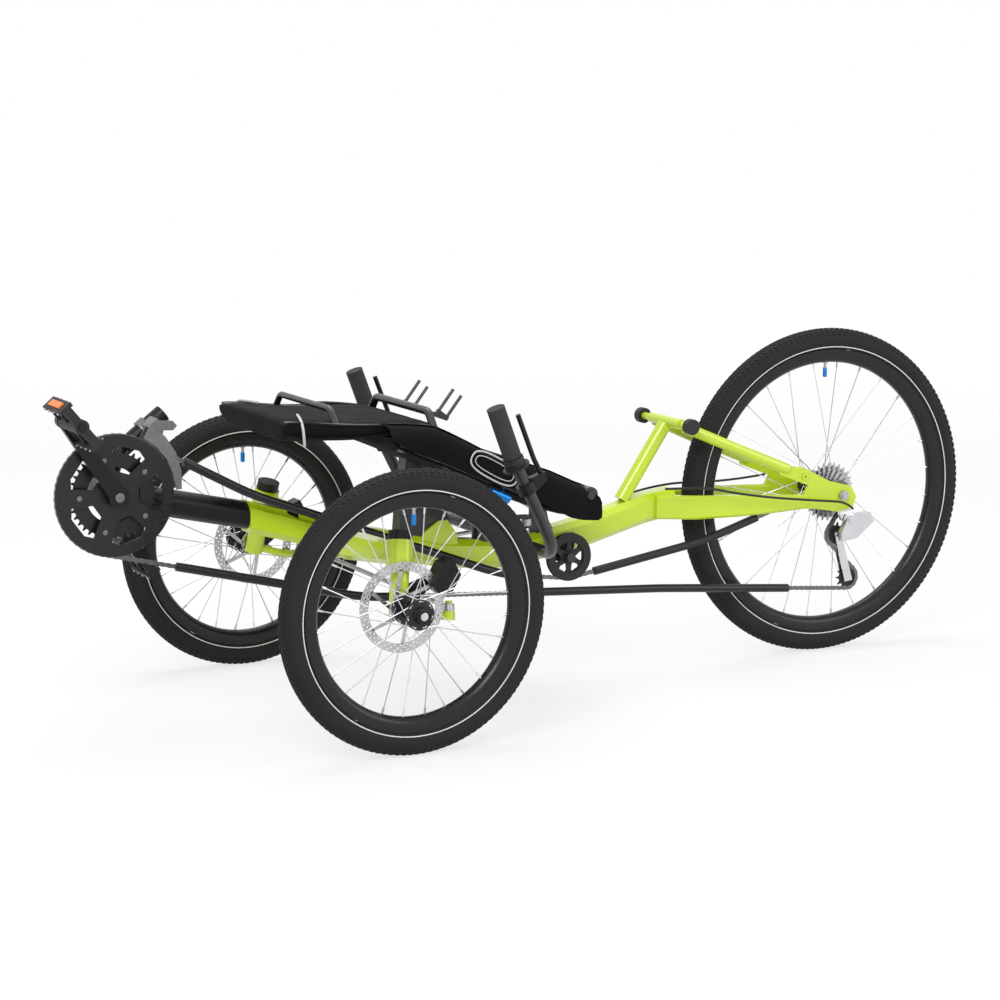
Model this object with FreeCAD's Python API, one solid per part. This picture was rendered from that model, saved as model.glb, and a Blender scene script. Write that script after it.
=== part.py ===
"""Recumbent tadpole trike with a forward-folding seat back.

Millimetres. +X points forward, +Y to the trike's left, +Z up. Places are worked out
from the front axle line; save() moves them so that the origin lies on the floor, halfway
along the trike. The drivetrain is on the left.
"""
import FreeCAD, Part

import math
import os

os.makedirs("parts", exist_ok=True)

Vector = FreeCAD.Vector
X_AXIS = Vector(1, 0, 0)
Y_AXIS = Vector(0, 1, 0)
Z_AXIS = Vector(0, 0, 1)

# ---------------------------------------------------------------- driving dimensions
ORIGIN_X = 430.0            # from the front axle back to the middle of the whole length
TRACK = 772.0               # between the front wheels' centre planes
WHEELBASE = 1094.0
FRONT_WHEEL_R = 250.0       # outside of the tyre
REAR_WHEEL_R = 326.5
TYRE_WIDTH = 47.0
TYRE_SIDES = 36             # a multiple of 4, so that a corner stands on the floor
RIM_DEPTH = 21.0
RIM_WIDTH = 30.0
SPOKE_COUNT = 28
SPOKE_WIDTH = 2.2

RUN_GAP = 0.3               # between solids on different bodies that run side by side
PIN_GAP = 0.05              # radial, round a pin or shaft
MOVE_GAP = 6.0              # between moving pieces and what they pass

CHAIN_Y = 56.0              # plane of the chain
CHAIN_PITCH = 12.7
RING_TEETH = 52
CRANK_LENGTH = 170.0
CRANK_ANGLE = 55.6          # left crank above the horizontal
BB_X = 418.0
BB_Z = 433.0

KINGPIN_LEAN = 13.5         # degrees, tops towards the middle
HUB_BORE_R = 6.0
REAR_X = -WHEELBASE


def vec(x, y, z):
    return Vector(x, y, z)


def behind(dx, dz):
    """Side-view point, x and z, from the rear axle."""
    return (REAR_X + dx, REAR_WHEEL_R + dz)


def unit(v):
    return Vector(v).normalize()


def save(name, shape):
    """Writes one node, moved to the trike's own origin."""
    moved = shape.copy()
    moved.translate(vec(ORIGIN_X, 0, 0))
    moved.exportStep("parts/%s.step" % name)


def mirrored(shape):
    """The same piece on the other side of the trike."""
    return shape.mirror(vec(0, 0, 0), Y_AXIS)


def rod(start, end, radius):
    return Part.makeCylinder(radius, (end - start).Length, start, end - start)


def pipe(start, end, radius, bore):
    return rod(start, end, radius).cut(rod(start, end, bore))


def joined(pieces):
    """One solid from pieces that touch or overlap."""
    whole = pieces[0].multiFuse(pieces[1:]).removeSplitter()
    return whole.Solids[0] if len(whole.Solids) == 1 else whole


def bent_rod(points, radius, bend):
    """Round bar along the points, with a tangent arc at each inner one."""
    pieces = []
    start = points[0]
    for before, corner, after in zip(points, points[1:], points[2:]):
        run_in = unit(corner - before)
        run_out = unit(after - corner)
        turn = run_in.getAngle(run_out)
        trim = bend * math.tan(turn / 2)
        arc_start = corner - run_in * trim
        axis = unit(run_in.cross(run_out))
        centre = arc_start + axis.cross(run_in) * bend
        pieces.append(rod(start, arc_start, radius))
        disc = Part.Face(Part.Wire(Part.makeCircle(radius, arc_start, run_in)))
        pieces.append(disc.revolve(centre, axis, math.degrees(turn)))
        start = corner + run_out * trim
    pieces.append(rod(start, points[-1], radius))
    return joined(pieces)


def plate_xz(points, y_low, y_high):
    """Flat plate with an outline of (x, z) points."""
    wire = Part.makePolygon([vec(x, y_low, z) for x, z in points + points[:1]])
    return Part.Face(wire).extrude(vec(0, y_high - y_low, 0))


def spun_y(points, y_middle, x_centre, z_centre):
    """Turned piece about a line along Y; points are (radius, y from y_middle)."""
    outline = [vec(x_centre + r, y_middle + y, z_centre) for r, y in points + points[:1]]
    face = Part.Face(Part.makePolygon(outline))
    return face.revolve(vec(x_centre, y_middle, z_centre), Y_AXIS, 360)


def box_section(x, z, height, width, bevel, y=0.0, along=X_AXIS):
    """Rectangle with bevelled corners, square to a path in a vertical plane."""
    up = unit(Y_AXIS.cross(along)) * -1
    half_h = height / 2
    half_w = width / 2
    corners = [
        (half_w, half_h - bevel), (half_w - bevel, half_h),
        (bevel - half_w, half_h), (-half_w, half_h - bevel),
        (-half_w, bevel - half_h), (bevel - half_w, -half_h),
        (half_w - bevel, -half_h), (half_w, bevel - half_h),
    ]
    centre = vec(x, y, z)
    ring = [centre + Y_AXIS * side + up * rise for side, rise in corners]
    return Part.makePolygon(ring + ring[:1])


def loft(wires):
    solid = Part.makeLoft(wires, True, True)
    return solid if solid.Volume > 0 else Part.Solid(solid.Shells[0].reversed())


# ---------------------------------------------------------------- wheels
def tyre(radius, x, y):
    """Casing of short flat sides, on the round seat of its rim."""
    half = TYRE_WIDTH / 2
    seat = radius - TYRE_WIDTH
    shoulder = radius - TYRE_WIDTH * 0.42
    section = [(seat - 2, -RIM_WIDTH / 2 + 2), (shoulder, -half), (radius, -half * 0.42),
               (radius, half * 0.42), (shoulder, half), (seat - 2, RIM_WIDTH / 2 - 2)]

    def corner(row, i):
        r, side = section[row % len(section)]
        angle = 2 * math.pi * i / TYRE_SIDES
        return vec(x + r * math.cos(angle), y + side, radius + r * math.sin(angle))

    flats = []
    for row in range(len(section)):
        for i in range(TYRE_SIDES):
            ring = [corner(row, i), corner(row, i + 1), corner(row + 1, i + 1), corner(row + 1, i)]
            flats.append(Part.Face(Part.makePolygon(ring + ring[:1])))
    shell = Part.makeShell(flats)
    shell.sewShape()
    casing = Part.Solid(shell)
    if casing.Volume < 0:
        casing = Part.Solid(shell.reversed())
    return casing.cut(rod(vec(x, y - half, radius), vec(x, y + half, radius), seat))


def wire_wheel(radius, x, y, hub):
    """Rim, crossed spokes and hub shell in one piece.

    hub rows: barrel radius, flange radius, left flange y, right flange y, left end y, right end y
    """
    barrel, flange, left_flange, right_flange, left_end, right_end = hub
    seat = radius - TYRE_WIDTH
    rim = spun_y(
        [(seat, -RIM_WIDTH / 2), (seat, RIM_WIDTH / 2),
         (seat - RIM_DEPTH * 0.55, RIM_WIDTH / 2), (seat - RIM_DEPTH, RIM_WIDTH * 0.2),
         (seat - RIM_DEPTH, -RIM_WIDTH * 0.2), (seat - RIM_DEPTH * 0.55, -RIM_WIDTH / 2)],
        y, x, radius)
    half_flange = 1.6
    shell = spun_y(
        [(HUB_BORE_R + PIN_GAP, right_end), (barrel, right_end),
         (barrel, right_flange - half_flange), (flange, right_flange - half_flange),
         (flange, right_flange + half_flange), (barrel, right_flange + half_flange),
         (barrel, left_flange - half_flange), (flange, left_flange - half_flange),
         (flange, left_flange + half_flange), (barrel, left_flange + half_flange),
         (barrel, left_end), (HUB_BORE_R + PIN_GAP, left_end)],
        y, x, radius)
    spokes = []
    for i in range(SPOKE_COUNT):
        rim_angle = 2 * math.pi * i / SPOKE_COUNT
        side = left_flange if i % 2 else right_flange
        lead = math.radians(72 if (i // 2) % 2 else -72)
        hub_angle = rim_angle + lead
        skew = 1.4 if (i // 2) % 2 else -1.4
        foot = vec(x + (flange - 4) * math.cos(hub_angle), y + side + skew,
                   radius + (flange - 4) * math.sin(hub_angle))
        tip_r = seat - RIM_DEPTH + 3
        tip = vec(x + tip_r * math.cos(rim_angle), y, radius + tip_r * math.sin(rim_angle))
        spokes.append(square_bar(foot, tip, SPOKE_WIDTH))
    return rim.multiFuse(spokes + [shell])


def square_bar(start, end, width):
    """Thin bar with a square section, one pair of sides square to Y."""
    along = unit(end - start)
    side = unit(along.cross(Y_AXIS)) * (width / 2)
    over = unit(side.cross(along)) * (width / 2)
    ring = [start + side + over, start - side + over, start - side - over, start + side - over]
    face = Part.Face(Part.makePolygon(ring + ring[:1]))
    return face.extrude(end - start)


# ---------------------------------------------------------------- chain line
def pitch_radius(teeth):
    return CHAIN_PITCH / (2 * math.sin(math.pi / teeth))


def bend(before, corner, after, radius):
    """The circle that rounds one corner of the chain's run: x, z, radius, sense."""
    run_in = unit(vec(corner[0] - before[0], 0, corner[1] - before[1]))
    run_out = unit(vec(after[0] - corner[0], 0, after[1] - corner[1]))
    sense = 1 if run_in.x * run_out.z - run_in.z * run_out.x > 0 else -1
    turn = run_in.getAngle(run_out)
    inward = unit(run_out - run_in)
    centre = vec(corner[0], 0, corner[1]) + inward * (radius / math.cos(turn / 2))
    return (centre.x, centre.z, radius, sense)


def sagging(first, last, share, rise, radius):
    """The circle that rounds a corner set off a straight line, part way along it."""
    corner = (first[0] + (last[0] - first[0]) * share, first[1] + (last[1] - first[1]) * share + rise)
    return bend(first, corner, last, radius)


def tangent_run(first, second):
    """The straight run from one circle to the next; sense 1 turns from X towards Z."""
    x1, z1, r1, s1 = first
    x2, z2, r2, s2 = second
    gap = math.hypot(x2 - x1, z2 - z1)
    heading = math.atan2(z2 - z1, x2 - x1) + math.asin((s1 * r1 - s2 * r2) / gap)
    across = (math.sin(heading), -math.cos(heading))
    start = (x1 + across[0] * r1 * s1, z1 + across[1] * r1 * s1)
    end = (x2 + across[0] * r2 * s2, z2 + across[1] * r2 * s2)
    return start, end


IDLER_X = -483.0
IDLER_Z = 250.0
IDLER_PITCH_R = 41.0
COG_TEETH = [12, 14, 16, 18, 20, 22, 25, 28]
COG_STEP = 4.8
SPLINE_COUNT = 9
SPLINE_R = 20.0
GUIDE_X, GUIDE_Z = behind(2, -81.5)
TENSION_X, TENSION_Z = behind(-26, -170.5)
PULLEY_TEETH = 11

RING = (BB_X, BB_Z, pitch_radius(RING_TEETH), 1)
COG = (REAR_X, REAR_WHEEL_R, pitch_radius(COG_TEETH[0]), 1)
CHAIN_CIRCLES = [
    RING,
    bend((290, 480), (150, 411), (-120, 315), 500.0),
    bend((150, 411), (-330, 232), (-460, 205), 400.0),
    (IDLER_X, IDLER_Z, IDLER_PITCH_R, -1),
    sagging((-533, 209), behind(34, 18.5), 0.506641, -16.9032, 700.0),
    COG,
    (GUIDE_X, GUIDE_Z, pitch_radius(PULLEY_TEETH), -1),
    (TENSION_X, TENSION_Z, pitch_radius(PULLEY_TEETH), 1),
    sagging(behind(116, -187.5), (-340, 194), 0.435737, 7.0345, 900.0),
    bend((-340, 194), (-60, 209), (300, 296), 500.0),
]


def chain_runs():
    """The closed loop as straight runs and arcs, in the order the chain travels."""
    runs = []
    count = len(CHAIN_CIRCLES)
    tangents = [tangent_run(CHAIN_CIRCLES[i], CHAIN_CIRCLES[(i + 1) % count])
                for i in range(count)]
    for i in range(count):
        x, z, radius, sense = CHAIN_CIRCLES[i]
        arrive = tangents[i - 1][1]
        leave = tangents[i][0]
        a0 = math.atan2(arrive[1] - z, arrive[0] - x)
        a1 = math.atan2(leave[1] - z, leave[0] - x)
        sweep = ((a1 - a0) * sense) % (2 * math.pi) * sense
        runs.append(("arc", (x, z), radius, a0, sweep))
        runs.append(("line", leave, tangents[i][1]))
    return runs


def run_length(run):
    if run[0] == "line":
        return math.hypot(run[2][0] - run[1][0], run[2][1] - run[1][1])
    return run[2] * abs(run[4])


def run_point(run, s):
    """Place and heading at the distance s along a run: x, z, direction x, direction z."""
    if run[0] == "line":
        (x0, z0), (x1, z1) = run[1], run[2]
        length = run_length(run)
        dx = (x1 - x0) / length
        dz = (z1 - z0) / length
        return x0 + dx * s, z0 + dz * s, dx, dz
    (x, z), radius, a0, sweep = run[1:]
    way = 1 if sweep > 0 else -1
    angle = a0 + way * s / radius
    return (x + radius * math.cos(angle), z + radius * math.sin(angle),
            -way * math.sin(angle), way * math.cos(angle))


def chain_stations(step):
    """Evenly spaced places round the whole loop, each with its heading."""
    runs = chain_runs()
    total = sum(run_length(run) for run in runs)
    count = 2 * round(total / step / 2)
    spacing = total / count
    stations = []
    walked = 0.0
    for run in runs:
        length = run_length(run)
        while len(stations) * spacing < walked + length - 1e-9:
            stations.append(run_point(run, len(stations) * spacing - walked))
        walked += length
    return stations[:count]


# ---------------------------------------------------------------- chain
# guide tubes: first run, last run, share of the first run where it starts, of the last where it ends
TUBES = [(1, 5, 0.45, 0.1), (7, 9, 0.2, 0.28), (15, 17, 0.33, 0.5), (17, 19, 0.95, 0.7)]
TUBE_MARGIN = 12.0          # of full links inside a tube's mouth
HIDDEN_STEP = 16            # stations from point to point inside the tubes
CHAIN_HALF_HEIGHT = 4.1
CHAIN_WAIST = 3.1
CHAIN_HALF_WIDTH = 3.0
TOOTH_SLOT = 1.3            # half of the space between the plates
TOOTH_HALF = 0.95
TOOTH_TIP = 2.4             # above the pitch line
TOOTH_ROOT = 4.3            # below it


def tube_spans():
    """Where each guide tube starts and ends, as distances along the loop."""
    lengths = [run_length(run) for run in chain_runs()]
    return [(sum(lengths[:first]) + start * lengths[first], sum(lengths[:last]) + end * lengths[last])
            for first, last, start, end in TUBES]


def chain_loop():
    """One closed loop: plates drawn in at each waist, and a slot where teeth enter.

    Inside the guide tubes the plates have plain edges.
    """
    stations = chain_stations(CHAIN_PITCH / 2)
    spacing = sum(run_length(run) for run in chain_runs()) / len(stations)
    spans = tube_spans()

    def edge(side):
        points = []
        for i, (x, z, dx, dz) in enumerate(stations):
            hidden = any(low + TUBE_MARGIN < i * spacing < high - TUBE_MARGIN for low, high in spans)
            ahead_dx, ahead_dz = stations[(i + 2) % len(stations)][2:]
            step = 3 if abs(dx * ahead_dz - dz * ahead_dx) > 0.001 else HIDDEN_STEP
            if hidden and i % step:
                continue
            reach = side * (CHAIN_WAIST if i % 2 else CHAIN_HALF_HEIGHT)
            points.append(vec(x - dz * reach, CHAIN_Y - CHAIN_HALF_WIDTH, z + dx * reach))
        return Part.makePolygon(points + points[:1])

    band = Part.Face([edge(-1), edge(1)])
    band.validate()
    loop = band.extrude(vec(0, 2 * CHAIN_HALF_WIDTH, 0))
    slots = []
    for x, z, radius, teeth_tip in [
            (BB_X, BB_Z, RING[2], TOOTH_TIP), (REAR_X, REAR_WHEEL_R, COG[2], TOOTH_TIP),
            (GUIDE_X, GUIDE_Z, CHAIN_CIRCLES[6][2], TOOTH_TIP),
            (TENSION_X, TENSION_Z, CHAIN_CIRCLES[7][2], TOOTH_TIP)]:
        disc = Part.makeCylinder(radius + teeth_tip + 0.4, 2 * TOOTH_SLOT,
                                 vec(x, CHAIN_Y - TOOTH_SLOT, z), Y_AXIS)
        slots.append(disc)
    return loop.cut(slots[0].multiFuse(slots[1:]))


def cog(teeth, x, z, y, bore=0.0, phase=0.0):
    """Toothed disc with flat-topped teeth, and a round bore if it has one of its own."""
    radius = pitch_radius(teeth)
    step = 2 * math.pi / teeth
    outline = []
    for i in range(teeth):
        for share, r in [(-0.27, radius - TOOTH_ROOT), (-0.07, radius + TOOTH_TIP),
                         (0.07, radius + TOOTH_TIP), (0.27, radius - TOOTH_ROOT)]:
            angle = phase + (i + share) * step
            outline.append(vec(x + r * math.cos(angle), y - TOOTH_HALF, z + r * math.sin(angle)))
    disc = Part.Face(Part.makePolygon(outline + outline[:1])).extrude(vec(0, 2 * TOOTH_HALF, 0))
    if not bore:
        return disc
    return disc.cut(Part.makeCylinder(bore, 2 * TOOTH_HALF + 2, vec(x, y - TOOTH_HALF - 1, z), Y_AXIS))


TUBE_R = 8.0                # chain guide tubes
TUBE_BORE_R = 5.4


def guide_tube(first, last, start_share, end_share):
    """The pipe round the chain from part way along one run to part way along another."""
    runs = chain_runs()[first:last + 1]
    solids = []
    for radius in (TUBE_R, TUBE_BORE_R):
        pieces = []
        for i, run in enumerate(runs):
            if run[0] == "line":
                s0 = start_share * run_length(run) if i == 0 else 0.0
                s1 = end_share * run_length(run) if i == len(runs) - 1 else run_length(run)
                x0, z0, _, _ = run_point(run, s0)
                x1, z1, _, _ = run_point(run, s1)
                pieces.append(rod(vec(x0, CHAIN_Y, z0), vec(x1, CHAIN_Y, z1), radius))
            else:
                x0, z0, dx, dz = run_point(run, 0.0)
                (cx, cz), sweep = run[1], run[4]
                disc = Part.Face(Part.Wire(Part.makeCircle(
                    radius, vec(x0, CHAIN_Y, z0), vec(dx, 0, dz))))
                pieces.append(disc.revolve(vec(cx, CHAIN_Y, cz), Y_AXIS, -math.degrees(sweep)))
        solids.append(joined(pieces))
    return solids[0].cut(solids[1])


# ---------------------------------------------------------------- main frame
SPINE_WIDTH = 50.0
SPINE_BEVEL = 11.0
# x, z of the middle, height, width
SPINE_SECTIONS = [
    (152, 368, 58, 56),
    (80, 347, 56, 52),
    (20, 328, 54, SPINE_WIDTH),
    (-239, 269, 54, SPINE_WIDTH),
    (-382, 257, 54, SPINE_WIDTH),
    (-552, 289, 56, SPINE_WIDTH),
    (-672, 321, 56, SPINE_WIDTH),
    (-735, 331, 52, 56),
]
BOOM_R = 25.0
BOOM_BACK = (60.0, 346.0)
BB_SHELL_R = 20.0
BB_HALF = 34.0
POST_R = 16.0               # bent post on the bottom bracket that carries the front derailleur
POST_BEND = vec(392, 0, 498)
POST_TOP = vec(306, 0, 564)


def boom_axis():
    return unit(vec(BB_X - 150, 0, BB_Z - 4 - 369.5))


def boom_place(x):
    """The point of the boom's middle line at one x."""
    direction = boom_axis()
    return vec(150, 0, 369.5) + direction * ((x - 150) / direction.x)


LUG_Y = 22.0                # outer faces of the seat lug's two ears
LUG_THICK = 6.0
LUG_BOLT = (-236.0, 314.0)


def spine():
    """Main tube with the boom's socket and the two ears of the seat's front lug."""
    body = loft([box_section(x, z, height, width, SPINE_BEVEL)
                 for x, z, height, width in SPINE_SECTIONS])
    ears = []
    for low in (-LUG_Y, LUG_Y - LUG_THICK):
        ears.append(plate_xz([(-186, 290), (-196, 313), (-226, 333), (-244, 334), (-262, 308), (-268, 275)],
                             low, low + LUG_THICK))
    socket = rod(boom_place(60), boom_place(170), BOOM_R)
    return body.multiFuse(ears).cut(socket)


def boom():
    shell = Part.makeCylinder(BB_SHELL_R, 2 * BB_HALF, vec(BB_X, -BB_HALF, BB_Z), Y_AXIS)
    tube = rod(boom_place(60), boom_place(BB_X), BOOM_R)
    post = bent_rod([vec(BB_X, 0, BB_Z), POST_BEND, POST_TOP], POST_R, 36)
    bore = Part.makeCylinder(12, 2 * BB_HALF + 2, vec(BB_X, -BB_HALF - 1, BB_Z), Y_AXIS)
    return tube.multiFuse([shell, post]).cut(bore)


# ---------------------------------------------------------------- kingpins and arms
PIN_R = 8.0
HEAD_R = 24.0
HEAD_HALF = 23.0
KINGPIN_X = -12.0
KINGPIN_Z = 338.0
KINGPIN_Y = TRACK / 2 - 81
KINGPIN_CASTER = 8.0
AXLE_R = HUB_BORE_R


def kingpin_axis():
    lean = math.tan(math.radians(KINGPIN_LEAN))
    caster = math.tan(math.radians(KINGPIN_CASTER))
    return unit(vec(-caster, -lean, 1))


HEAD = vec(KINGPIN_X, KINGPIN_Y, KINGPIN_Z)


def on_kingpin(z):
    axis = kingpin_axis()
    return HEAD + axis * ((z - KINGPIN_Z) / axis.z)


def cross_arm(body):
    """Left arm from the spine to the kingpin's head."""
    axis = kingpin_axis()
    sections = []
    # y, middle x, middle z, length along x, height
    for y, x, z, length, height in [(10, 12, 319, 62, 38), (KINGPIN_Y / 2, 0, 325, 56, 44),
                                    (KINGPIN_Y, KINGPIN_X, KINGPIN_Z - 2.5, 40, 34)]:
        half_l = length / 2
        half_h = height / 2
        b = 9
        ring = [vec(x + half_l, y, z + half_h - b), vec(x + half_l - b, y, z + half_h),
                vec(x - half_l + b, y, z + half_h), vec(x - half_l, y, z + half_h - b),
                vec(x - half_l, y, z - half_h + b), vec(x - half_l + b, y, z - half_h),
                vec(x + half_l - b, y, z - half_h), vec(x + half_l, y, z - half_h + b)]
        sections.append(Part.makePolygon(ring + ring[:1]))
    arm = loft(sections)
    head = rod(HEAD - axis * HEAD_HALF, HEAD + axis * HEAD_HALF, HEAD_R)
    bore = rod(HEAD - axis * 60, HEAD + axis * 60, PIN_R + PIN_GAP)
    return arm.fuse(head).cut(body).cut(bore)


ARM_END = vec(-95, KINGPIN_Y + 24, 224)
ARM_EYE_HALF = 7.5
ARM_EYE_R = 11.0
ARM_FOOT = 13.0             # from the right arm's end down to the drag link's seat
BALL_PIN_R = 4.0            # pins through the steering rods' eyes
NUT_RIM = 2.5
ROD_EYE_R = 10.0
ROD_EYE_HALF = 6.5
KNUCKLE_R = 17.0
KNUCKLE_FLAT = 4.0          # from the rotor in to the flat on the knuckle
ROD_PLAY = 0.8              # along the pin, at an eye that turns on it
OPEN_GAP = 2.0              # radial, at the two eyes that only trap their pins
OPEN_PLAY = 1.6             # along the pin at those eyes
TIE_ROD_AXIS = unit(vec(-0.0684, -0.2389, 1))
ROTOR_Y = TRACK / 2 - 48
ROTOR_R = 80.0
ROTOR_HALF = 1.0
ROTOR_CARRIER = 7.0         # thickness of the rotor's centre, which bolts to the hub's end
CALIPER_SLOT = 2.2
# barrel radius, flange radius, left flange y, right flange y, left end y, right end y
FRONT_HUB = (12, 27, 24, -26, 36, ROTOR_Y + ROTOR_CARRIER - TRACK / 2)
REAR_HUB = (15, 27, 12, -34, 64, -64)


def knuckle():
    """Left kingpin with its block, stub axle and steering arm."""
    axis = kingpin_axis()
    low = HEAD - axis * (HEAD_HALF + RUN_GAP)
    axle_point = on_kingpin(FRONT_WHEEL_R)
    flat = ROTOR_Y - ROTOR_HALF - KNUCKLE_FLAT
    pin = rod(axle_point, HEAD + axis * (HEAD_HALF + 12), PIN_R)
    block = rod(axle_point - axis * 16, low, KNUCKLE_R)
    block = block.cut(Part.makeBox(80, 40, 160, vec(-40, flat, FRONT_WHEEL_R - 60)))
    axle = rod(vec(0, axle_point.y, FRONT_WHEEL_R), vec(0, TRACK / 2 + 37, FRONT_WHEEL_R), AXLE_R)
    collar = rod(vec(0, axle_point.y, FRONT_WHEEL_R),
                 vec(0, ROTOR_Y - ROTOR_HALF - RUN_GAP, FRONT_WHEEL_R), 9)
    nut = rod(vec(0, TRACK / 2 + FRONT_HUB[4] + RUN_GAP, FRONT_WHEEL_R),
              vec(0, TRACK / 2 + 42, FRONT_WHEEL_R), 10)
    arm = bent_rod([axle_point - axis * 6, vec(-58, KINGPIN_Y + 11, 227), ARM_END], 7, 60)
    eye = rod(ARM_END - axis * ARM_EYE_HALF, ARM_END + axis * ARM_EYE_HALF, ARM_EYE_R)
    return joined([pin, block, axle, collar, nut, arm, eye])


def ball_pin(face, along, play, nut_gap):
    """Pin out of a face, with the nut that keeps a rod's eye on it."""
    nut_face = play + 2 * ROD_EYE_HALF + nut_gap
    pin = rod(face - along * 3, face + along * (nut_face + 5), BALL_PIN_R)
    return pin.fuse(rod(face + along * nut_face, face + along * (nut_face + 5), BALL_PIN_R + NUT_RIM))


def right_side(v):
    return vec(v.x, -v.y, v.z)


def tie_rod_ends():
    """Middles of the tie rod's eyes above the two steering arms."""
    axis = kingpin_axis()
    face = ARM_END + axis * ARM_EYE_HALF
    left = face + TIE_ROD_AXIS * (ROD_PLAY + ROD_EYE_HALF)
    return left, right_side(face + axis * (OPEN_PLAY + ROD_EYE_HALF))


def left_arm_pins():
    return ball_pin(ARM_END + kingpin_axis() * ARM_EYE_HALF, TIE_ROD_AXIS, ROD_PLAY, RUN_GAP)


def drag_link_seat():
    """Lower face of the foot under the right arm's end."""
    return right_side(ARM_END) - Z_AXIS * ARM_FOOT


def right_arm_pins():
    """The tie rod's pin above the right arm, and the foot and pin of the drag link below it."""
    axis = right_side(kingpin_axis())
    end = right_side(ARM_END)
    upper = ball_pin(end + axis * ARM_EYE_HALF, axis, OPEN_PLAY, OPEN_PLAY)
    foot = rod(end, drag_link_seat(), 9)
    return upper.multiFuse([foot, ball_pin(drag_link_seat(), Z_AXIS * -1, OPEN_PLAY, OPEN_PLAY)])


def kingpin_cap():
    axis = kingpin_axis()
    start = HEAD + axis * (HEAD_HALF + RUN_GAP)
    cap = rod(start, start + axis * 16, 21)
    return cap.cut(rod(start - axis, start + axis * 11.7, PIN_R))


def caliper():
    """Brake caliper over the rotor's rear upper edge."""
    outline = [(-52, 284), (-72, 322), (-92, 330), (-108, 300), (-92, 272), (-66, 270)]
    block = plate_xz(outline, ROTOR_Y - 20, ROTOR_Y + 13)
    slot = Part.makeCylinder(ROTOR_R + 2, 2 * CALIPER_SLOT,
                             vec(0, ROTOR_Y - CALIPER_SLOT, FRONT_WHEEL_R), Y_AXIS)
    mount = plate_xz([(-8, 262), (-20, 286), (-70, 302), (-78, 288), (-20, 246)],
                     ROTOR_Y - 20, ROTOR_Y - 12)
    return block.fuse(mount).cut(slot)


# ---------------------------------------------------------------- crankset and pedals
GUARD_R = 107.0
GUARD_Y = CHAIN_Y + 6.0
GUARD_HALF = 1.5
CRANK_Y = GUARD_Y + GUARD_HALF
CRANK_STEP = 8.0            # from the guard out to the inner face of the arm
CRANK_THICK = 13.0
CRANK_OUTER = CRANK_Y + CRANK_STEP + CRANK_THICK
PEDAL_GAP = 1.5
SPINDLE_R = 12.0
RING_STEP = 6.5
INNER_RINGS = [39, 30]
PEDAL_WIDTH = 90.0
PEDAL_BORE_R = 7.0
PEDAL_TILT = -50.0


def crank_direction():
    angle = math.radians(CRANK_ANGLE)
    return vec(math.cos(angle), 0, math.sin(angle))


def bb_point(y):
    return vec(BB_X, y, BB_Z)


def chainrings():
    """Three toothed rings on a five-armed spider."""
    rings = [cog(RING_TEETH, BB_X, BB_Z, CHAIN_Y, pitch_radius(RING_TEETH) - 15)]
    inner_bore = pitch_radius(INNER_RINGS[-1]) - 12
    for i, teeth in enumerate(INNER_RINGS):
        rings.append(cog(teeth, BB_X, BB_Z, CHAIN_Y - (i + 1) * RING_STEP, inner_bore))
    front = CHAIN_Y - TOOTH_HALF
    back = CHAIN_Y - 2 * RING_STEP - TOOTH_HALF
    spider = [Part.makeCylinder(24, front - back, bb_point(back), Y_AXIS)]
    for i in range(5):
        angle = 2 * math.pi * i / 5
        out = vec(math.cos(angle), 0, math.sin(angle))
        width = 9
        side = vec(-out.z, 0, out.x) * width
        reach = pitch_radius(RING_TEETH) - 9
        a = bb_point(front - 4) + side
        ring = [a, a + out * reach, a + out * reach - side * 2, a - side * 2]
        spider.append(Part.Face(Part.makePolygon(ring + ring[:1])).extrude(vec(0, 4, 0)))
        post = bb_point(back) + out * (inner_bore + 4)
        spider.append(Part.makeCylinder(6, front - back, post, Y_AXIS))
    bore = Part.makeCylinder(SPINDLE_R, 200, bb_point(-100), Y_AXIS)
    return rings[0].multiFuse(rings[1:] + spider).cut(bore)


def ring_guard():
    """Outer guard disc with five openings between its arms."""
    disc = Part.makeCylinder(GUARD_R, 2 * GUARD_HALF, bb_point(GUARD_Y - GUARD_HALF), Y_AXIS)
    holes = [Part.makeCylinder(SPINDLE_R, 20, bb_point(GUARD_Y - 10), Y_AXIS)]
    for i in range(5):
        middle = 2 * math.pi * (i + 0.5) / 5
        ring = []
        for spread, r in [(-0.42, 82), (-0.22, 88), (0.22, 88), (0.42, 82), (0.30, 44), (-0.30, 44)]:
            ring.append(bb_point(GUARD_Y - 10)
                        + vec(math.cos(middle + spread), 0, math.sin(middle + spread)) * r)
        holes.append(Part.Face(Part.makePolygon(ring + ring[:1])).extrude(vec(0, 20, 0)))
    return disc.cut(holes[0].multiFuse(holes[1:]))


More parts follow.
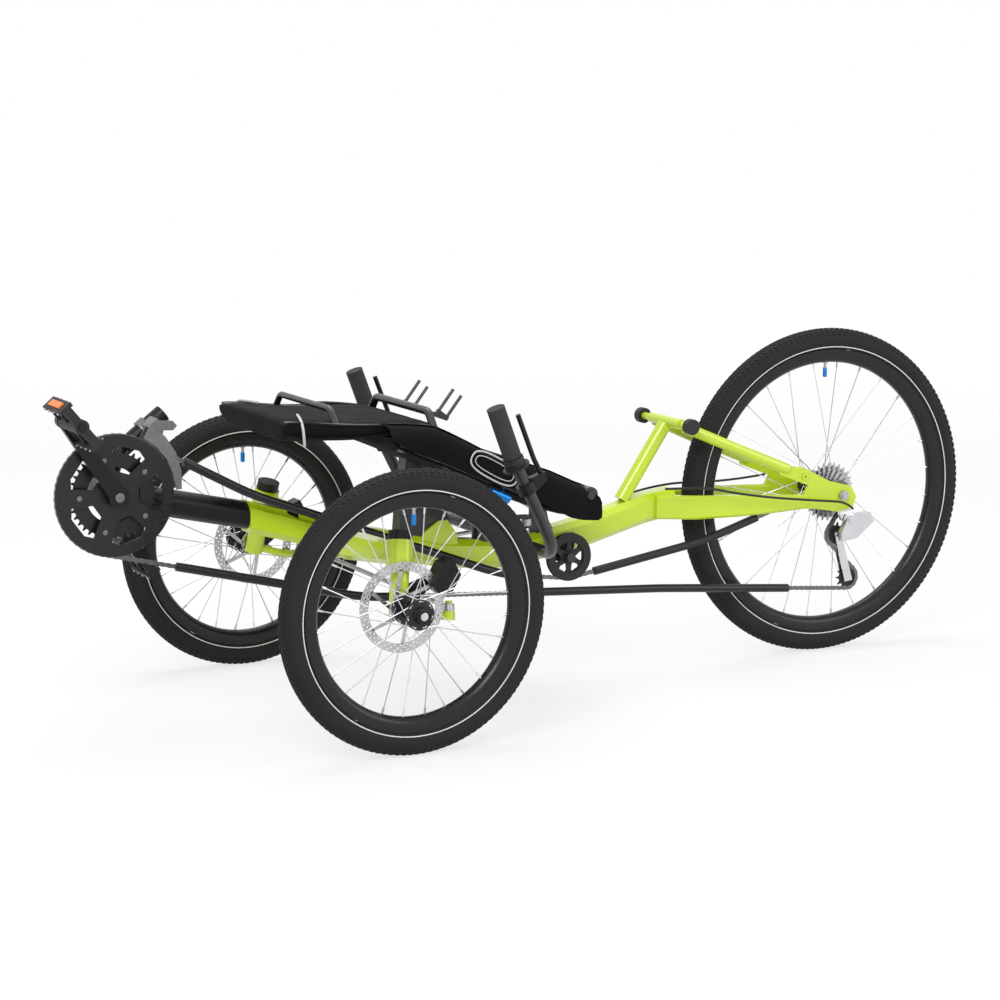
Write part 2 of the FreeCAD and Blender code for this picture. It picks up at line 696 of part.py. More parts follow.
def crank(side):
    """Arm from the bottom bracket to the pedal; the left one carries the spindle."""
    out = crank_direction() * side
    inner = side * (CRANK_Y + CRANK_STEP)
    outer = side * CRANK_OUTER
    hub = rod(bb_point(side * CRANK_Y), bb_point(outer), 19)
    tip_centre = bb_point(inner) + out * CRANK_LENGTH
    tip = rod(tip_centre, bb_point(outer) + out * CRANK_LENGTH, 14)
    across = vec(-out.z, 0, out.x)
    a = bb_point(inner)
    ring = [a + across * 15, tip_centre + across * 11, tip_centre - across * 11, a - across * 15]
    arm = Part.Face(Part.makePolygon(ring + ring[:1])).extrude(Y_AXIS * (outer - inner))
    pedal_start = bb_point(outer) + out * CRANK_LENGTH
    pedal_end = pedal_start + Y_AXIS * side * (PEDAL_GAP + PEDAL_WIDTH + 3)
    whole = joined([hub, tip, arm, rod(pedal_start, pedal_end, PEDAL_BORE_R)])
    if side > 0:
        return whole.fuse(rod(bb_point(-CRANK_OUTER), bb_point(CRANK_Y), SPINDLE_R - PIN_GAP))
    return whole.cut(rod(bb_point(-CRANK_OUTER - 1), bb_point(0), SPINDLE_R - PIN_GAP))


def pedal(side):
    """Cage pedal: centre barrel, two side plates and two end bars."""
    axis_point = bb_point(0) + crank_direction() * side * CRANK_LENGTH
    start = side * (CRANK_OUTER + PEDAL_GAP)
    end = start + side * PEDAL_WIDTH
    low, high = min(start, end), max(start, end)
    barrel = rod(vec(axis_point.x, low, axis_point.z), vec(axis_point.x, high, axis_point.z), 13)
    pieces = [barrel]
    half = 46
    for end_x in (-half, half - 7):
        pieces.append(Part.makeBox(7, high - low, 26, vec(axis_point.x + end_x, low, axis_point.z - 13)))
    for y in (low, high - 6, (low + high) / 2 - 3):
        pieces.append(Part.makeBox(2 * half, 6, 16, vec(axis_point.x - half, y, axis_point.z - 8)))
    body = joined(pieces)
    body = body.cut(rod(vec(axis_point.x, low - 1, axis_point.z), vec(axis_point.x, high + 1, axis_point.z),
                        PEDAL_BORE_R + PIN_GAP))
    body.rotate(axis_point, Y_AXIS, PEDAL_TILT)
    return body


# ---------------------------------------------------------------- rear end
DROPOUT_Y = 67.5
DROPOUT_THICK = 7.0
EYELET = (92.0, 44.0)       # dx, dz of the rack eyelet from the rear axle
EYELET_R = 7.0
EYELET_BORE_R = 2.6
EYELET_RISE = 3.0
CROSS_X = -728.0
CROSS_Z = 488.0
CROSS_R = 10.0
CROSS_SHOULDER = 58.0       # half the length of its thick middle
CROSS_END_R = 7.0           # slim ends that the seat back's forks grip
CROSS_HALF = 84.0
KNOB_R = 15.0
KNOB_LENGTH = 15.0
STRUT_R = 14.0
STAY_R = 11.0


def chainstay(body):
    """Left chainstay with its dropout plate."""
    sections = []
    # x and z of the middle, y, height, width
    for (x, z), y, height, width in [((-690, 325), 20, 46, 26), ((-765, 322), 46, 46, 20),
                                     (behind(234, -5.5), 60, 42, 18), (behind(164, -6.5), 68, 36, 14),
                                     (behind(84, -6.5), 71, 27, 13)]:
        sections.append(box_section(x, z, height, width, 4, y=y))
    # dx, dz from the axle
    outline = [(159, 73.5), (94, 61.5), (34, 31.5), (-18, 17.5), (-32, -4.5), (-24, -26.5), (9, -32.5),
               (64, -22.5), (94, -20.5), (94, 3.5), (82, 25.5), (149, 51.5)]
    plate = plate_xz([behind(dx, dz) for dx, dz in outline], DROPOUT_Y, DROPOUT_Y + DROPOUT_THICK)
    eyelet_x, eyelet_z = behind(*EYELET)
    eyelet = rod(vec(eyelet_x, DROPOUT_Y, eyelet_z),
                 vec(eyelet_x, DROPOUT_Y + DROPOUT_THICK + EYELET_RISE, eyelet_z), EYELET_R)
    stay = loft(sections).multiFuse([plate, eyelet])
    stay = stay.cut(rod(vec(eyelet_x, 0, eyelet_z), vec(eyelet_x, 120, eyelet_z), EYELET_BORE_R))
    hole = rod(vec(REAR_X, 0, REAR_WHEEL_R), vec(REAR_X, 120, REAR_WHEEL_R), AXLE_R + PIN_GAP)
    mate = Part.makeBox(60, 60, 80, vec(-715, -60, 285))
    return stay.cut(body).cut(hole).cut(mate)


def strut(body):
    """Strut from the spine to the cross tube that the seat back leans on."""
    lower = vec(-628, 0, 340)
    upper = vec(CROSS_X + 4, 0, CROSS_Z - 6)
    middle = rod(cross_point(-CROSS_SHOULDER), cross_point(CROSS_SHOULDER), CROSS_R)
    ends = rod(cross_point(-CROSS_HALF), cross_point(CROSS_HALF), CROSS_END_R)
    return joined([rod(lower, upper, STRUT_R), middle, ends]).cut(body)


def cross_point(y):
    return vec(CROSS_X, y, CROSS_Z)


def cross_knob():
    """Knob on the left end of the cross tube."""
    return rod(cross_point(CROSS_HALF), cross_point(CROSS_HALF + KNOB_LENGTH), KNOB_R)


def seat_stay(strut_shape, plate):
    end_x, end_z = behind(132, 61.5)
    path = [vec(CROSS_X - 6, 52, CROSS_Z - 5), vec(-846, 66, 435), vec(end_x, 71, end_z)]
    stay = bent_rod(path, STAY_R, 120)
    return stay.cut(strut_shape).cut(plate)


def rear_axle():
    half = DROPOUT_Y + DROPOUT_THICK
    bar = rod(vec(REAR_X, -half - 9, REAR_WHEEL_R), vec(REAR_X, half + 9, REAR_WHEEL_R), AXLE_R)
    pieces = [bar]
    for y in (-half - 6, half):
        pieces.append(rod(vec(REAR_X, y, REAR_WHEEL_R), vec(REAR_X, y + 6, REAR_WHEEL_R), 10))
    for y in (-DROPOUT_Y, REAR_HUB[4] + RUN_GAP):
        pieces.append(rod(vec(REAR_X, y, REAR_WHEEL_R),
                          vec(REAR_X, y + DROPOUT_Y - REAR_HUB[4] - RUN_GAP, REAR_WHEEL_R), 9))
    return joined(pieces)


def cassette():
    """Eight cogs on a splined carrier that fits the hub."""
    low = vec(REAR_X, CHAIN_Y - (len(COG_TEETH) - 1) * COG_STEP - TOOTH_HALF, REAR_WHEEL_R)
    length = CHAIN_Y + 3 - low.y
    corners = []
    for i in range(2 * SPLINE_COUNT):
        radius = SPLINE_R - (2 if i % 2 else 0)
        angle = math.pi * i / SPLINE_COUNT
        corners.append(low + vec(radius * math.cos(angle), 0, radius * math.sin(angle)))
    carrier = Part.Face(Part.makePolygon(corners + corners[:1])).extrude(Y_AXIS * length)
    pieces = [cog(teeth, REAR_X, REAR_WHEEL_R, CHAIN_Y - i * COG_STEP) for i, teeth in enumerate(COG_TEETH)]
    return carrier.multiFuse(pieces).cut(rod(low - Y_AXIS, low + Y_AXIS * (length + 1), REAR_HUB[0]))


def rotor(y):
    """Brake rotor: braking band on six swept arms from the centre that bolts to the hub."""
    band = pipe(vec(0, y - ROTOR_HALF, FRONT_WHEEL_R), vec(0, y + ROTOR_HALF, FRONT_WHEEL_R), ROTOR_R, 64)
    hub = pipe(vec(0, y - ROTOR_HALF, FRONT_WHEEL_R), vec(0, y + ROTOR_CARRIER, FRONT_WHEEL_R),
               24, HUB_BORE_R + PIN_GAP)
    arms = []
    for i in range(6):
        a = 2 * math.pi * i / 6
        b = a + 0.5
        start = vec(21 * math.cos(a), y, FRONT_WHEEL_R + 21 * math.sin(a))
        end = vec(66 * math.cos(b), y, FRONT_WHEEL_R + 66 * math.sin(b))
        along = unit(end - start)
        side = unit(along.cross(Y_AXIS)) * 4
        base = start - Y_AXIS * ROTOR_HALF
        ring = [base + side, base - side, base - side + (end - start), base + side + (end - start)]
        arms.append(Part.Face(Part.makePolygon(ring + ring[:1])).extrude(vec(0, 2 * ROTOR_HALF, 0)))
    return band.multiFuse([hub] + arms)


CAGE_THICK = 1.8
CAGE_HALF = 8.0             # from the chain's plane to the inner faces of the front cage
CAGE_INNER_R = 111.0
# degrees round the bottom bracket, outer radius of the front cage there
CAGE_SECTOR = [(118, 137), (133, 135), (148, 131), (163, 126), (178, 121)]


def round_bb(degrees, radius):
    angle = math.radians(degrees)
    return (BB_X + radius * math.cos(angle), BB_Z + radius * math.sin(angle))


def front_derailleur():
    """Clamp round the boom's post, arms, and the curved cage that straddles the chain."""
    along = unit(POST_TOP - POST_BEND)
    middle = POST_TOP - along * 43
    band = pipe(middle - along * 8, middle + along * 8, POST_R + 4, POST_R)
    low = CHAIN_Y - CAGE_HALF
    high = CHAIN_Y + CAGE_HALF
    arm = plate_xz([(352, 548), (334, 562), (320, 548), (326, 528), (344, 528)], POST_R - 4, low)
    cable_arm = plate_xz([(330, 556), (298, 553), (290, 544), (298, 536), (326, 538)], POST_R + 6, POST_R + 12)
    outline = [round_bb(degrees, radius) for degrees, radius in CAGE_SECTOR]
    outline += [round_bb(degrees, CAGE_INNER_R) for degrees, _ in reversed(CAGE_SECTOR)]
    cage = [plate_xz(outline, y, y + CAGE_THICK) for y in (low - CAGE_THICK, high)]
    bridge = plate_xz([round_bb(118, 137), round_bb(133, 135), round_bb(133, 130), round_bb(118, 132)],
                      low, high)
    bolt_x, bolt_z = round_bb(175, 116)
    bolt = rod(vec(bolt_x, low, bolt_z), vec(bolt_x, high, bolt_z), 3)
    post = rod(POST_BEND, POST_TOP, POST_R)
    return joined([band, arm, cable_arm, bridge, bolt] + cage).cut(post)


def jockey_wheels():
    wheels = []
    for x, z, _, _ in CHAIN_CIRCLES[6:8]:
        wheels.append(cog(PULLEY_TEETH, x, z, CHAIN_Y, 5))
    return Part.makeCompound(wheels)


def rear_derailleur(dropout):
    """Hanger, body and cage with its two pulley bolts."""
    hanger_outline = [(9, -29.5), (-24, -26.5), (-28, -44.5), (-14, -58.5), (2, -50.5)]
    hanger = plate_xz([behind(*point) for point in hanger_outline], DROPOUT_Y, DROPOUT_Y + DROPOUT_THICK)
    pivot_x, pivot_z = behind(-14, -47.5)
    pivot = rod(vec(pivot_x, DROPOUT_Y - 2, pivot_z), vec(pivot_x, DROPOUT_Y + 24, pivot_z), 9)
    link_outline = [(-6, -38.5), (-56, -34.5), (-66, -54.5), (-26, -86.5), (9, -90.5), (10, -72.5)]
    link = plate_xz([behind(*point) for point in link_outline], DROPOUT_Y + 9, DROPOUT_Y + 22)
    knuckle_pin = rod(vec(GUIDE_X, CHAIN_Y - 7, GUIDE_Z), vec(GUIDE_X, DROPOUT_Y + 20, GUIDE_Z), 4.5)
    tension_pin = rod(vec(TENSION_X, CHAIN_Y - 7, TENSION_Z), vec(TENSION_X, CHAIN_Y + 7, TENSION_Z), 4.5)
    outline = [(GUIDE_X + 8, GUIDE_Z + 6), (GUIDE_X - 8, GUIDE_Z + 6), (TENSION_X - 10, TENSION_Z - 6),
               (TENSION_X + 8, TENSION_Z - 8)]
    plates = [plate_xz(outline, CHAIN_Y + y, CHAIN_Y + y + 1.8) for y in (-6.6, 4.8)]
    return joined([hanger, pivot, link, knuckle_pin, tension_pin] + plates).cut(dropout)


# ---------------------------------------------------------------- idler
IDLER_FLANGE_R = 46.0
IDLER_BORE_R = 6.0


def idler():
    """Grooved chain pulley with six openings in its web."""
    floor = IDLER_PITCH_R - CHAIN_HALF_HEIGHT - RUN_GAP
    inner = CHAIN_HALF_WIDTH + RUN_GAP
    outer = inner + 1.6
    outline = [(IDLER_BORE_R + PIN_GAP, -6), (12, -6), (12, -3), (floor - 6, -3), (floor - 6, -outer),
               (IDLER_FLANGE_R, -outer), (IDLER_FLANGE_R, -inner), (floor, -inner), (floor, inner),
               (IDLER_FLANGE_R, inner), (IDLER_FLANGE_R, outer), (floor - 6, outer),
               (floor - 6, 3), (12, 3), (12, 6), (IDLER_BORE_R + PIN_GAP, 6)]
    wheel = spun_y(outline, CHAIN_Y, IDLER_X, IDLER_Z)
    holes = []
    for i in range(6):
        middle = 2 * math.pi * i / 6
        ring = []
        for spread, r in [(-0.10, 14), (-0.36, 25), (-0.28, 30), (0.28, 30), (0.36, 25), (0.10, 14)]:
            ring.append(vec(IDLER_X + r * math.cos(middle + spread), CHAIN_Y - 10,
                            IDLER_Z + r * math.sin(middle + spread)))
        holes.append(Part.Face(Part.makePolygon(ring + ring[:1])).extrude(vec(0, 20, 0)))
    return wheel.cut(Part.makeCompound(holes))


def idler_mount(body):
    plate = plate_xz([(IDLER_X - 26, 262), (IDLER_X - 26, 290), (IDLER_X + 26, 282),
                      (IDLER_X + 26, 256), (IDLER_X + 12, 238), (IDLER_X - 12, 238)],
                     SPINE_WIDTH / 2, SPINE_WIDTH / 2 + 6)
    start = SPINE_WIDTH / 2
    axle = rod(vec(IDLER_X, start, IDLER_Z), vec(IDLER_X, CHAIN_Y + 10, IDLER_Z), IDLER_BORE_R)
    spacer = rod(vec(IDLER_X, start, IDLER_Z), vec(IDLER_X, CHAIN_Y - 6 - RUN_GAP, IDLER_Z), 10)
    head = rod(vec(IDLER_X, CHAIN_Y + 6 + RUN_GAP, IDLER_Z), vec(IDLER_X, CHAIN_Y + 12, IDLER_Z), 9)
    return joined([plate, axle, spacer, head]).cut(body)


# ---------------------------------------------------------------- steering
BAR_R = 11.0
BAR_X = -325.0
BAR_Z = 306.0
GRIP_Y = 300.0
GRIP_TOP = vec(-201, GRIP_Y, 577)
GRIP_FOOT = vec(-238, GRIP_Y, 480)
BAR_BEND = vec(-290, GRIP_Y, 380)
GRIP_R = 16.5
SHIFTER_R = 19.0
SHIFTER_FLANGE_R = 25.0
BAR_PIVOT_R = 8.0
BAR_HUB_R = 18.0
BAR_HUB_LOW = 12.0          # below and above the bar's own plane
BAR_HUB_HIGH = 22.0
LEVER_X = 92.0              # from the bar's pivot back to the drag link's pin
LEVER_Y = 9.0
LEVER_THICK = 6.0
POST_CLEAR = 18.0           # from the drag link's pin back to the rear seat post
DRAG_LINK_AXIS = unit(vec(0.0569, 0.0100, 1))
STEERING_ROD_R = 4.2


def bar_end_point(z):
    return vec(BAR_X - LEVER_X, LEVER_Y, z)


def handlebar():
    """Bent bar with the hub it turns on and the lever that moves the drag link."""
    left = [GRIP_TOP, GRIP_FOOT, BAR_BEND, vec(BAR_X, GRIP_Y, BAR_Z)]
    bar = bent_rod(left + [right_side(p) for p in reversed(left)], BAR_R, 44)
    hub = rod(vec(BAR_X, 0, BAR_Z - BAR_HUB_LOW), vec(BAR_X, 0, BAR_Z + BAR_HUB_HIGH), BAR_HUB_R)
    low = BAR_Z + BAR_HUB_HIGH - LEVER_THICK
    ring = [vec(BAR_X, -14, low), vec(BAR_X - LEVER_X, LEVER_Y - 8, low),
            vec(BAR_X - LEVER_X, LEVER_Y + 8, low), vec(BAR_X, 14, low)]
    lever = Part.Face(Part.makePolygon(ring + ring[:1])).extrude(vec(0, 0, LEVER_THICK))
    boss = rod(bar_end_point(low), bar_end_point(low + LEVER_THICK), 8)
    pin = ball_pin(bar_end_point(low), DRAG_LINK_AXIS * -1, ROD_PLAY, RUN_GAP)
    whole = joined([bar, hub, lever, boss, pin])
    return whole.cut(rod(vec(BAR_X, 0, BAR_Z - 30), vec(BAR_X, 0, BAR_Z + 30), BAR_PIVOT_R + PIN_GAP))


def bar_pivot(body):
    """Post on the spine, with the pin and nut that hold the bar's hub."""
    low = BAR_Z - BAR_HUB_LOW - RUN_GAP
    high = BAR_Z + BAR_HUB_HIGH + RUN_GAP
    boss = rod(vec(BAR_X, 0, BAR_Z - 40), vec(BAR_X, 0, low), BAR_HUB_R)
    pin = rod(vec(BAR_X, 0, BAR_Z - 40), vec(BAR_X, 0, high + 6), BAR_PIVOT_R)
    nut = rod(vec(BAR_X, 0, high), vec(BAR_X, 0, high + 6), 13)
    return joined([boss, pin, nut]).cut(body)


def grips():
    along = unit(GRIP_TOP - GRIP_FOOT)
    sleeve = pipe(GRIP_FOOT + along * 12, GRIP_TOP + along * 4, GRIP_R, BAR_R + 0.05)
    cap = rod(GRIP_TOP + along * 0.5, GRIP_TOP + along * 4, BAR_R + 1)
    grip = sleeve.fuse(cap)
    return Part.makeCompound([grip, mirrored(grip)])


def twist_shifters(bar):
    """Collar and flange of the twist shifter under each grip."""
    down = unit(BAR_BEND - GRIP_FOOT)
    up = unit(GRIP_TOP - GRIP_FOOT)
    flange = rod(GRIP_FOOT + down * 6, GRIP_FOOT + down * 9.5, SHIFTER_FLANGE_R)
    shifter = joined([flange, rod(GRIP_FOOT + down * 7, GRIP_FOOT, SHIFTER_R),
                      rod(GRIP_FOOT, GRIP_FOOT + up * 11, SHIFTER_R)])
    shifter = shifter.cut(bar)
    return Part.makeCompound([shifter, mirrored(shifter)])


def brake_levers(bar):
    along = unit(GRIP_FOOT - BAR_BEND)
    centre = BAR_BEND + along * 60.8
    clamp = pipe(centre - along * 9, centre + along * 9, BAR_R + 6, BAR_R + 0.05)
    body = plate_xz([(-262, 424), (-282, 430), (-300, 446), (-296, 462), (-266, 452)], GRIP_Y - 7, GRIP_Y + 7)
    blade = bent_rod([vec(-294, GRIP_Y, 452), vec(-276, GRIP_Y, 486), vec(-244, GRIP_Y, 566)], 4.5, 30)
    lever = joined([clamp, body, blade]).cut(bar)
    return Part.makeCompound([lever, mirrored(lever)])


def steering_rod(start, start_axis, end, end_axis):
    """Link whose first eye fits its pin; the second one is open round its own."""
    pieces = [rod(start, end, STEERING_ROD_R)]
    bores = []
    for centre, axis, bore in [(start, start_axis, BALL_PIN_R + PIN_GAP),
                               (end, end_axis, BALL_PIN_R + OPEN_GAP)]:
        pieces.append(rod(centre - axis * ROD_EYE_HALF, centre + axis * ROD_EYE_HALF, ROD_EYE_R))
        bores.append(rod(centre - axis * 2 * ROD_EYE_HALF, centre + axis * 2 * ROD_EYE_HALF, bore))
    return joined(pieces).cut(bores[0]).cut(bores[1])


def tie_rod():
    left, right = tie_rod_ends()
    return steering_rod(left, TIE_ROD_AXIS, right, right_side(kingpin_axis()))


def drag_link():
    face = bar_end_point(BAR_Z + BAR_HUB_HIGH - LEVER_THICK)
    return steering_rod(face - DRAG_LINK_AXIS * (ROD_PLAY + ROD_EYE_HALF), DRAG_LINK_AXIS,
                        drag_link_seat() - Z_AXIS * (OPEN_PLAY + ROD_EYE_HALF), Z_AXIS)


# ---------------------------------------------------------------- seat
SEAT_PIVOT_X = -457.0
SEAT_PIVOT_Z = 390.0
SEAT_RAIL_Y = 175.0
SEAT_RAIL_R = 10.0
SEAT_WRAP = 3.5             # cloth round the rails
SEAT_CLOTH = 6.0            # cloth between them
SEAT_BEND = 60.0
BACK_RAIL_Y = SEAT_RAIL_Y - 2 * (SEAT_RAIL_R + SEAT_WRAP) - MOVE_GAP
BACK_UPRIGHT = 122.0        # degrees from the folded back to the upright one
PIVOT_EYE_R = 15.0
PIVOT_EYE_HALF = 11.0
BASE_PATH = [(-72, 511), (-165, 475), (-250, 436), (-330, 399), (-400, 371), (-468, 358)]
BASE_CROSS_X = [-86, -175, -422]
CROSS_TUBE_R = 7.0
CROSS_TUBE_DROP = 9.0       # from the rails down to the tubes that cross under the cloth
ADJUSTER_X = -282.0
ADJUSTER_R = 9.0
ADJUSTER_LENGTH = 42.0


def height_on(path, x):
    """Height of a side-view path at one x."""
    for (x0, z0), (x1, z1) in zip(path, path[1:]):
        if min(x0, x1) <= x <= max(x0, x1):
            return z0 + (z1 - z0) * (x - x0) / (x1 - x0)
    raise ValueError("the path does not reach x = %g" % x)


def rail(path, y, radius):
    return bent_rod([vec(x, y, z) for x, z in path], radius, SEAT_BEND)


def seat_cloth(path, start, half):
    """Cloth stretched between two rails and wrapped round them, from the path's point start on."""
    covered = path[start:]
    if start == 0:
        covered = path[:-1] + [(path[-1][0] + PIVOT_EYE_R, height_on(path, path[-1][0] + PIVOT_EYE_R))]
    outline = [(x, z + SEAT_CLOTH / 2) for x, z in covered]
    outline += [(x, z - SEAT_CLOTH / 2) for x, z in reversed(covered)]
    left = rail(covered, half, SEAT_RAIL_R + SEAT_WRAP)
    return joined([plate_xz(outline, -half, half), left, mirrored(left)])


def seat_base_frame():
    """Left and right rails, tubes that cross under the cloth, and brackets with the pivot's eyes."""
    left = rail(BASE_PATH, SEAT_RAIL_Y, SEAT_RAIL_R)
    eye = rod(vec(SEAT_PIVOT_X, SEAT_RAIL_Y - PIVOT_EYE_HALF, SEAT_PIVOT_Z),
              vec(SEAT_PIVOT_X, SEAT_RAIL_Y + PIVOT_EYE_HALF, SEAT_PIVOT_Z), PIVOT_EYE_R)
    end_x, end_z = BASE_PATH[-1]
    bracket = plate_xz([(end_x + 3, end_z - 4), (SEAT_PIVOT_X - PIVOT_EYE_R + 2, SEAT_PIVOT_Z + 3),
                        (SEAT_PIVOT_X + PIVOT_EYE_R - 2, SEAT_PIVOT_Z + 3), (end_x + 24, end_z)],
                       SEAT_RAIL_Y - 5, SEAT_RAIL_Y + 5)
    side = joined([left, bracket, eye])
    tubes = []
    for x in BASE_CROSS_X:
        z = height_on(BASE_PATH, x) - CROSS_TUBE_DROP
        tubes.append(rod(vec(x, -SEAT_RAIL_Y, z), vec(x, SEAT_RAIL_Y, z), CROSS_TUBE_R))
    frame = joined([side, mirrored(side)] + tubes)
    return frame.cut(rod(vec(SEAT_PIVOT_X, -300, SEAT_PIVOT_Z), vec(SEAT_PIVOT_X, 300, SEAT_PIVOT_Z),
                         PIN_R + PIN_GAP))


def seat_adjusters(seat_frame):
    """Barrel of the clamp under each rail."""
    z = height_on(BASE_PATH, ADJUSTER_X)
    along = unit(vec(ADJUSTER_X + 20, 0, height_on(BASE_PATH, ADJUSTER_X + 20)) - vec(ADJUSTER_X, 0, z))
    down = vec(along.z, 0, -along.x)
    foot = vec(ADJUSTER_X, SEAT_RAIL_Y, z)
    middle = foot + down * (SEAT_RAIL_R + SEAT_WRAP + ADJUSTER_R - 1)
    barrel = rod(middle - along * ADJUSTER_LENGTH / 2, middle + along * ADJUSTER_LENGTH / 2, ADJUSTER_R)
    clamp = joined([barrel, rod(foot, middle, 6)]).cut(seat_frame)
    return Part.makeCompound([clamp, mirrored(clamp)])


def seat_posts(body, seat_frame):
    """Front bracket between the lug's ears, and the rear post."""
    front_x, rear_x = BASE_CROSS_X[1:]
    front_z = height_on(BASE_PATH, front_x) - CROSS_TUBE_DROP
    rear_z = height_on(BASE_PATH, rear_x) - CROSS_TUBE_DROP
    outline = [(-146, 300), (-150, 352), (front_x + 13, front_z - 4), (front_x - 13, front_z - 4),
               (-205, 366), (-246, 346), (-256, 316), (-250, 285)]
    half = LUG_Y - LUG_THICK
    front = plate_xz(outline, -half, half)
    bolt_x, bolt_z = LUG_BOLT
    bolt = rod(vec(bolt_x, -LUG_Y - 3, bolt_z), vec(bolt_x, LUG_Y + 3, bolt_z), 6)
    heel = BAR_X - LEVER_X - POST_CLEAR
    rear_outline = [(heel - 53, 265), (heel - 7, 265), (heel, 292), (heel, BAR_Z + BAR_HUB_HIGH + 7),
                    (rear_x + 9, rear_z - 9), (rear_x, rear_z), (rear_x - 30, rear_z - 6), (heel - 26, 316)]
    rear = plate_xz(rear_outline, -half, half)
    return Part.makeCompound([front.cut(body).cut(seat_frame), rear.cut(body).cut(seat_frame)])


BACK_PATH = [(SEAT_PIVOT_X, SEAT_PIVOT_Z), (-420, 406), (-360, 435), (-262, 462), (-145, 526), (-10, 533),
             (135, 547)]
HEAD_TUBE_X = 122.0
# bows over the back's cloth: x, rise above the rails, tube radius
BOWS = [(-160, 36, 7.5), (34, 32, 6.0)]
BOW_CORNER_Y = 112.0
FORK_Y = (CROSS_SHOULDER + CROSS_HALF) / 2
TINE_R = 3.0
TINE_PAST = 14.0            # from the strut's cross tube to the tines' tips
TINE_BASE = 40.0            # and back to the plate that carries them


def bow(x, rise, radius):
    """Raised tube from rail to rail, with a rounded corner at each side."""
    foot_z = height_on(BACK_PATH, x)
    points = [vec(x, -BACK_RAIL_Y, foot_z), vec(x, -BOW_CORNER_Y, foot_z + rise),
              vec(x, BOW_CORNER_Y, foot_z + rise), vec(x, BACK_RAIL_Y, foot_z)]
    return bent_rod(points, radius, 22)


def seat_back_frame():
    """Left and right rails, head tube, bows and the pivot pins."""
    left = rail(BACK_PATH, BACK_RAIL_Y, SEAT_RAIL_R)
    eye = rod(vec(SEAT_PIVOT_X, BACK_RAIL_Y - PIVOT_EYE_HALF, SEAT_PIVOT_Z),
              vec(SEAT_PIVOT_X, BACK_RAIL_Y + PIVOT_EYE_HALF, SEAT_PIVOT_Z), PIVOT_EYE_R)
    pin = rod(vec(SEAT_PIVOT_X, BACK_RAIL_Y, SEAT_PIVOT_Z),
              vec(SEAT_PIVOT_X, SEAT_RAIL_Y + PIVOT_EYE_HALF + 3, SEAT_PIVOT_Z), PIN_R)
    side = joined([left, eye, pin])
    head_z = height_on(BACK_PATH, HEAD_TUBE_X)
    head = rod(vec(HEAD_TUBE_X, -BACK_RAIL_Y, head_z), vec(HEAD_TUBE_X, BACK_RAIL_Y, head_z), CROSS_TUBE_R)
    return joined([side, mirrored(side), head] + [bow(*row) for row in BOWS])


def seat_forks(back_frame):
    """Two forks on the rear bow; upright, their tines straddle the slim ends of the strut's tube."""
    reach = math.hypot(CROSS_X - SEAT_PIVOT_X, CROSS_Z - SEAT_PIVOT_Z)
    angle = math.atan2(CROSS_Z - SEAT_PIVOT_Z, CROSS_X - SEAT_PIVOT_X) - math.radians(BACK_UPRIGHT)
    outward = vec(math.cos(angle), 0, math.sin(angle))
    along = vec(-outward.z, 0, outward.x)
    grip = vec(SEAT_PIVOT_X, 0, SEAT_PIVOT_Z) + outward * reach
    spread = outward * (CROSS_END_R + TINE_R + RUN_GAP)
    base = grip - along * TINE_BASE
    bow_x, bow_rise, bow_r = BOWS[0]
    tube = vec(bow_x, 0, height_on(BACK_PATH, bow_x) + bow_rise)
    forks = []
    for y in (-FORK_Y, FORK_Y):
        side = Y_AXIS * y
        tines = [rod(base + side + spread * way, grip + along * TINE_PAST + side + spread * way, TINE_R)
                 for way in (-1, 1)]
        low = Y_AXIS * (y - 4)
        ring = [base + spread * 1.3 + low, base + spread * 1.3 + along * 8 + low,
                base - spread * 1.3 + along * 8 + low, base - spread * 1.3 + low,
                tube + vec(-bow_r, 0, -bow_r) + low, tube + vec(bow_r, 0, -bow_r / 2) + low,
                tube + vec(0, 0, bow_r / 2) + low]
        stem = Part.Face(Part.makePolygon(ring + ring[:1])).extrude(vec(0, 8, 0))
        forks.append(joined([stem] + tines).cut(back_frame))
    return Part.makeCompound(forks)


# ---------------------------------------------------------------- saving
body_spine = spine()
left_arm = cross_arm(body_spine)
save("spine", body_spine)
save("cross_arm_left", left_arm)
save("cross_arm_right", mirrored(left_arm))
save("boom", boom())
left_knuckle = knuckle()
save("knuckle_left", left_knuckle.fuse(left_arm_pins()))
save("knuckle_right", mirrored(left_knuckle).fuse(right_arm_pins()))
save("tie_rod", tie_rod())
save("drag_link", drag_link())
front_wheel = wire_wheel(FRONT_WHEEL_R, 0, TRACK / 2, FRONT_HUB)
for side, turned in [("left", Part.Shape.copy), ("right", mirrored)]:
    save("kingpin_cap_%s" % side, turned(kingpin_cap()))
    save("caliper_%s" % side, turned(caliper().cut(left_knuckle)))
    save("tyre_%s" % side, turned(tyre(FRONT_WHEEL_R, 0, TRACK / 2)))
    save("wire_wheel_%s" % side, turned(front_wheel))
    save("rotor_%s" % side, turned(rotor(ROTOR_Y)))
save("tyre_rear", tyre(REAR_WHEEL_R, REAR_X, 0))
save("wire_wheel_rear", wire_wheel(REAR_WHEEL_R, REAR_X, 0, REAR_HUB))
save("cassette", cassette())
save("rear_axle", rear_axle())
left_stay = chainstay(body_spine)
save("chainstay_left", left_stay)
save("chainstay_right", mirrored(left_stay))
the_strut = strut(body_spine)
save("seat_strut", the_strut)
save("strut_knobs", Part.makeCompound([cross_knob(), mirrored(cross_knob())]))
left_seat_stay = seat_stay(the_strut, left_stay)
save("seat_stay_left", left_seat_stay)
save("seat_stay_right", mirrored(left_seat_stay))
save("rear_derailleur", rear_derailleur(left_stay))
save("jockey_wheels", jockey_wheels())
save("front_derailleur", front_derailleur())
save("chainrings", chainrings())
save("ring_guard", ring_guard())
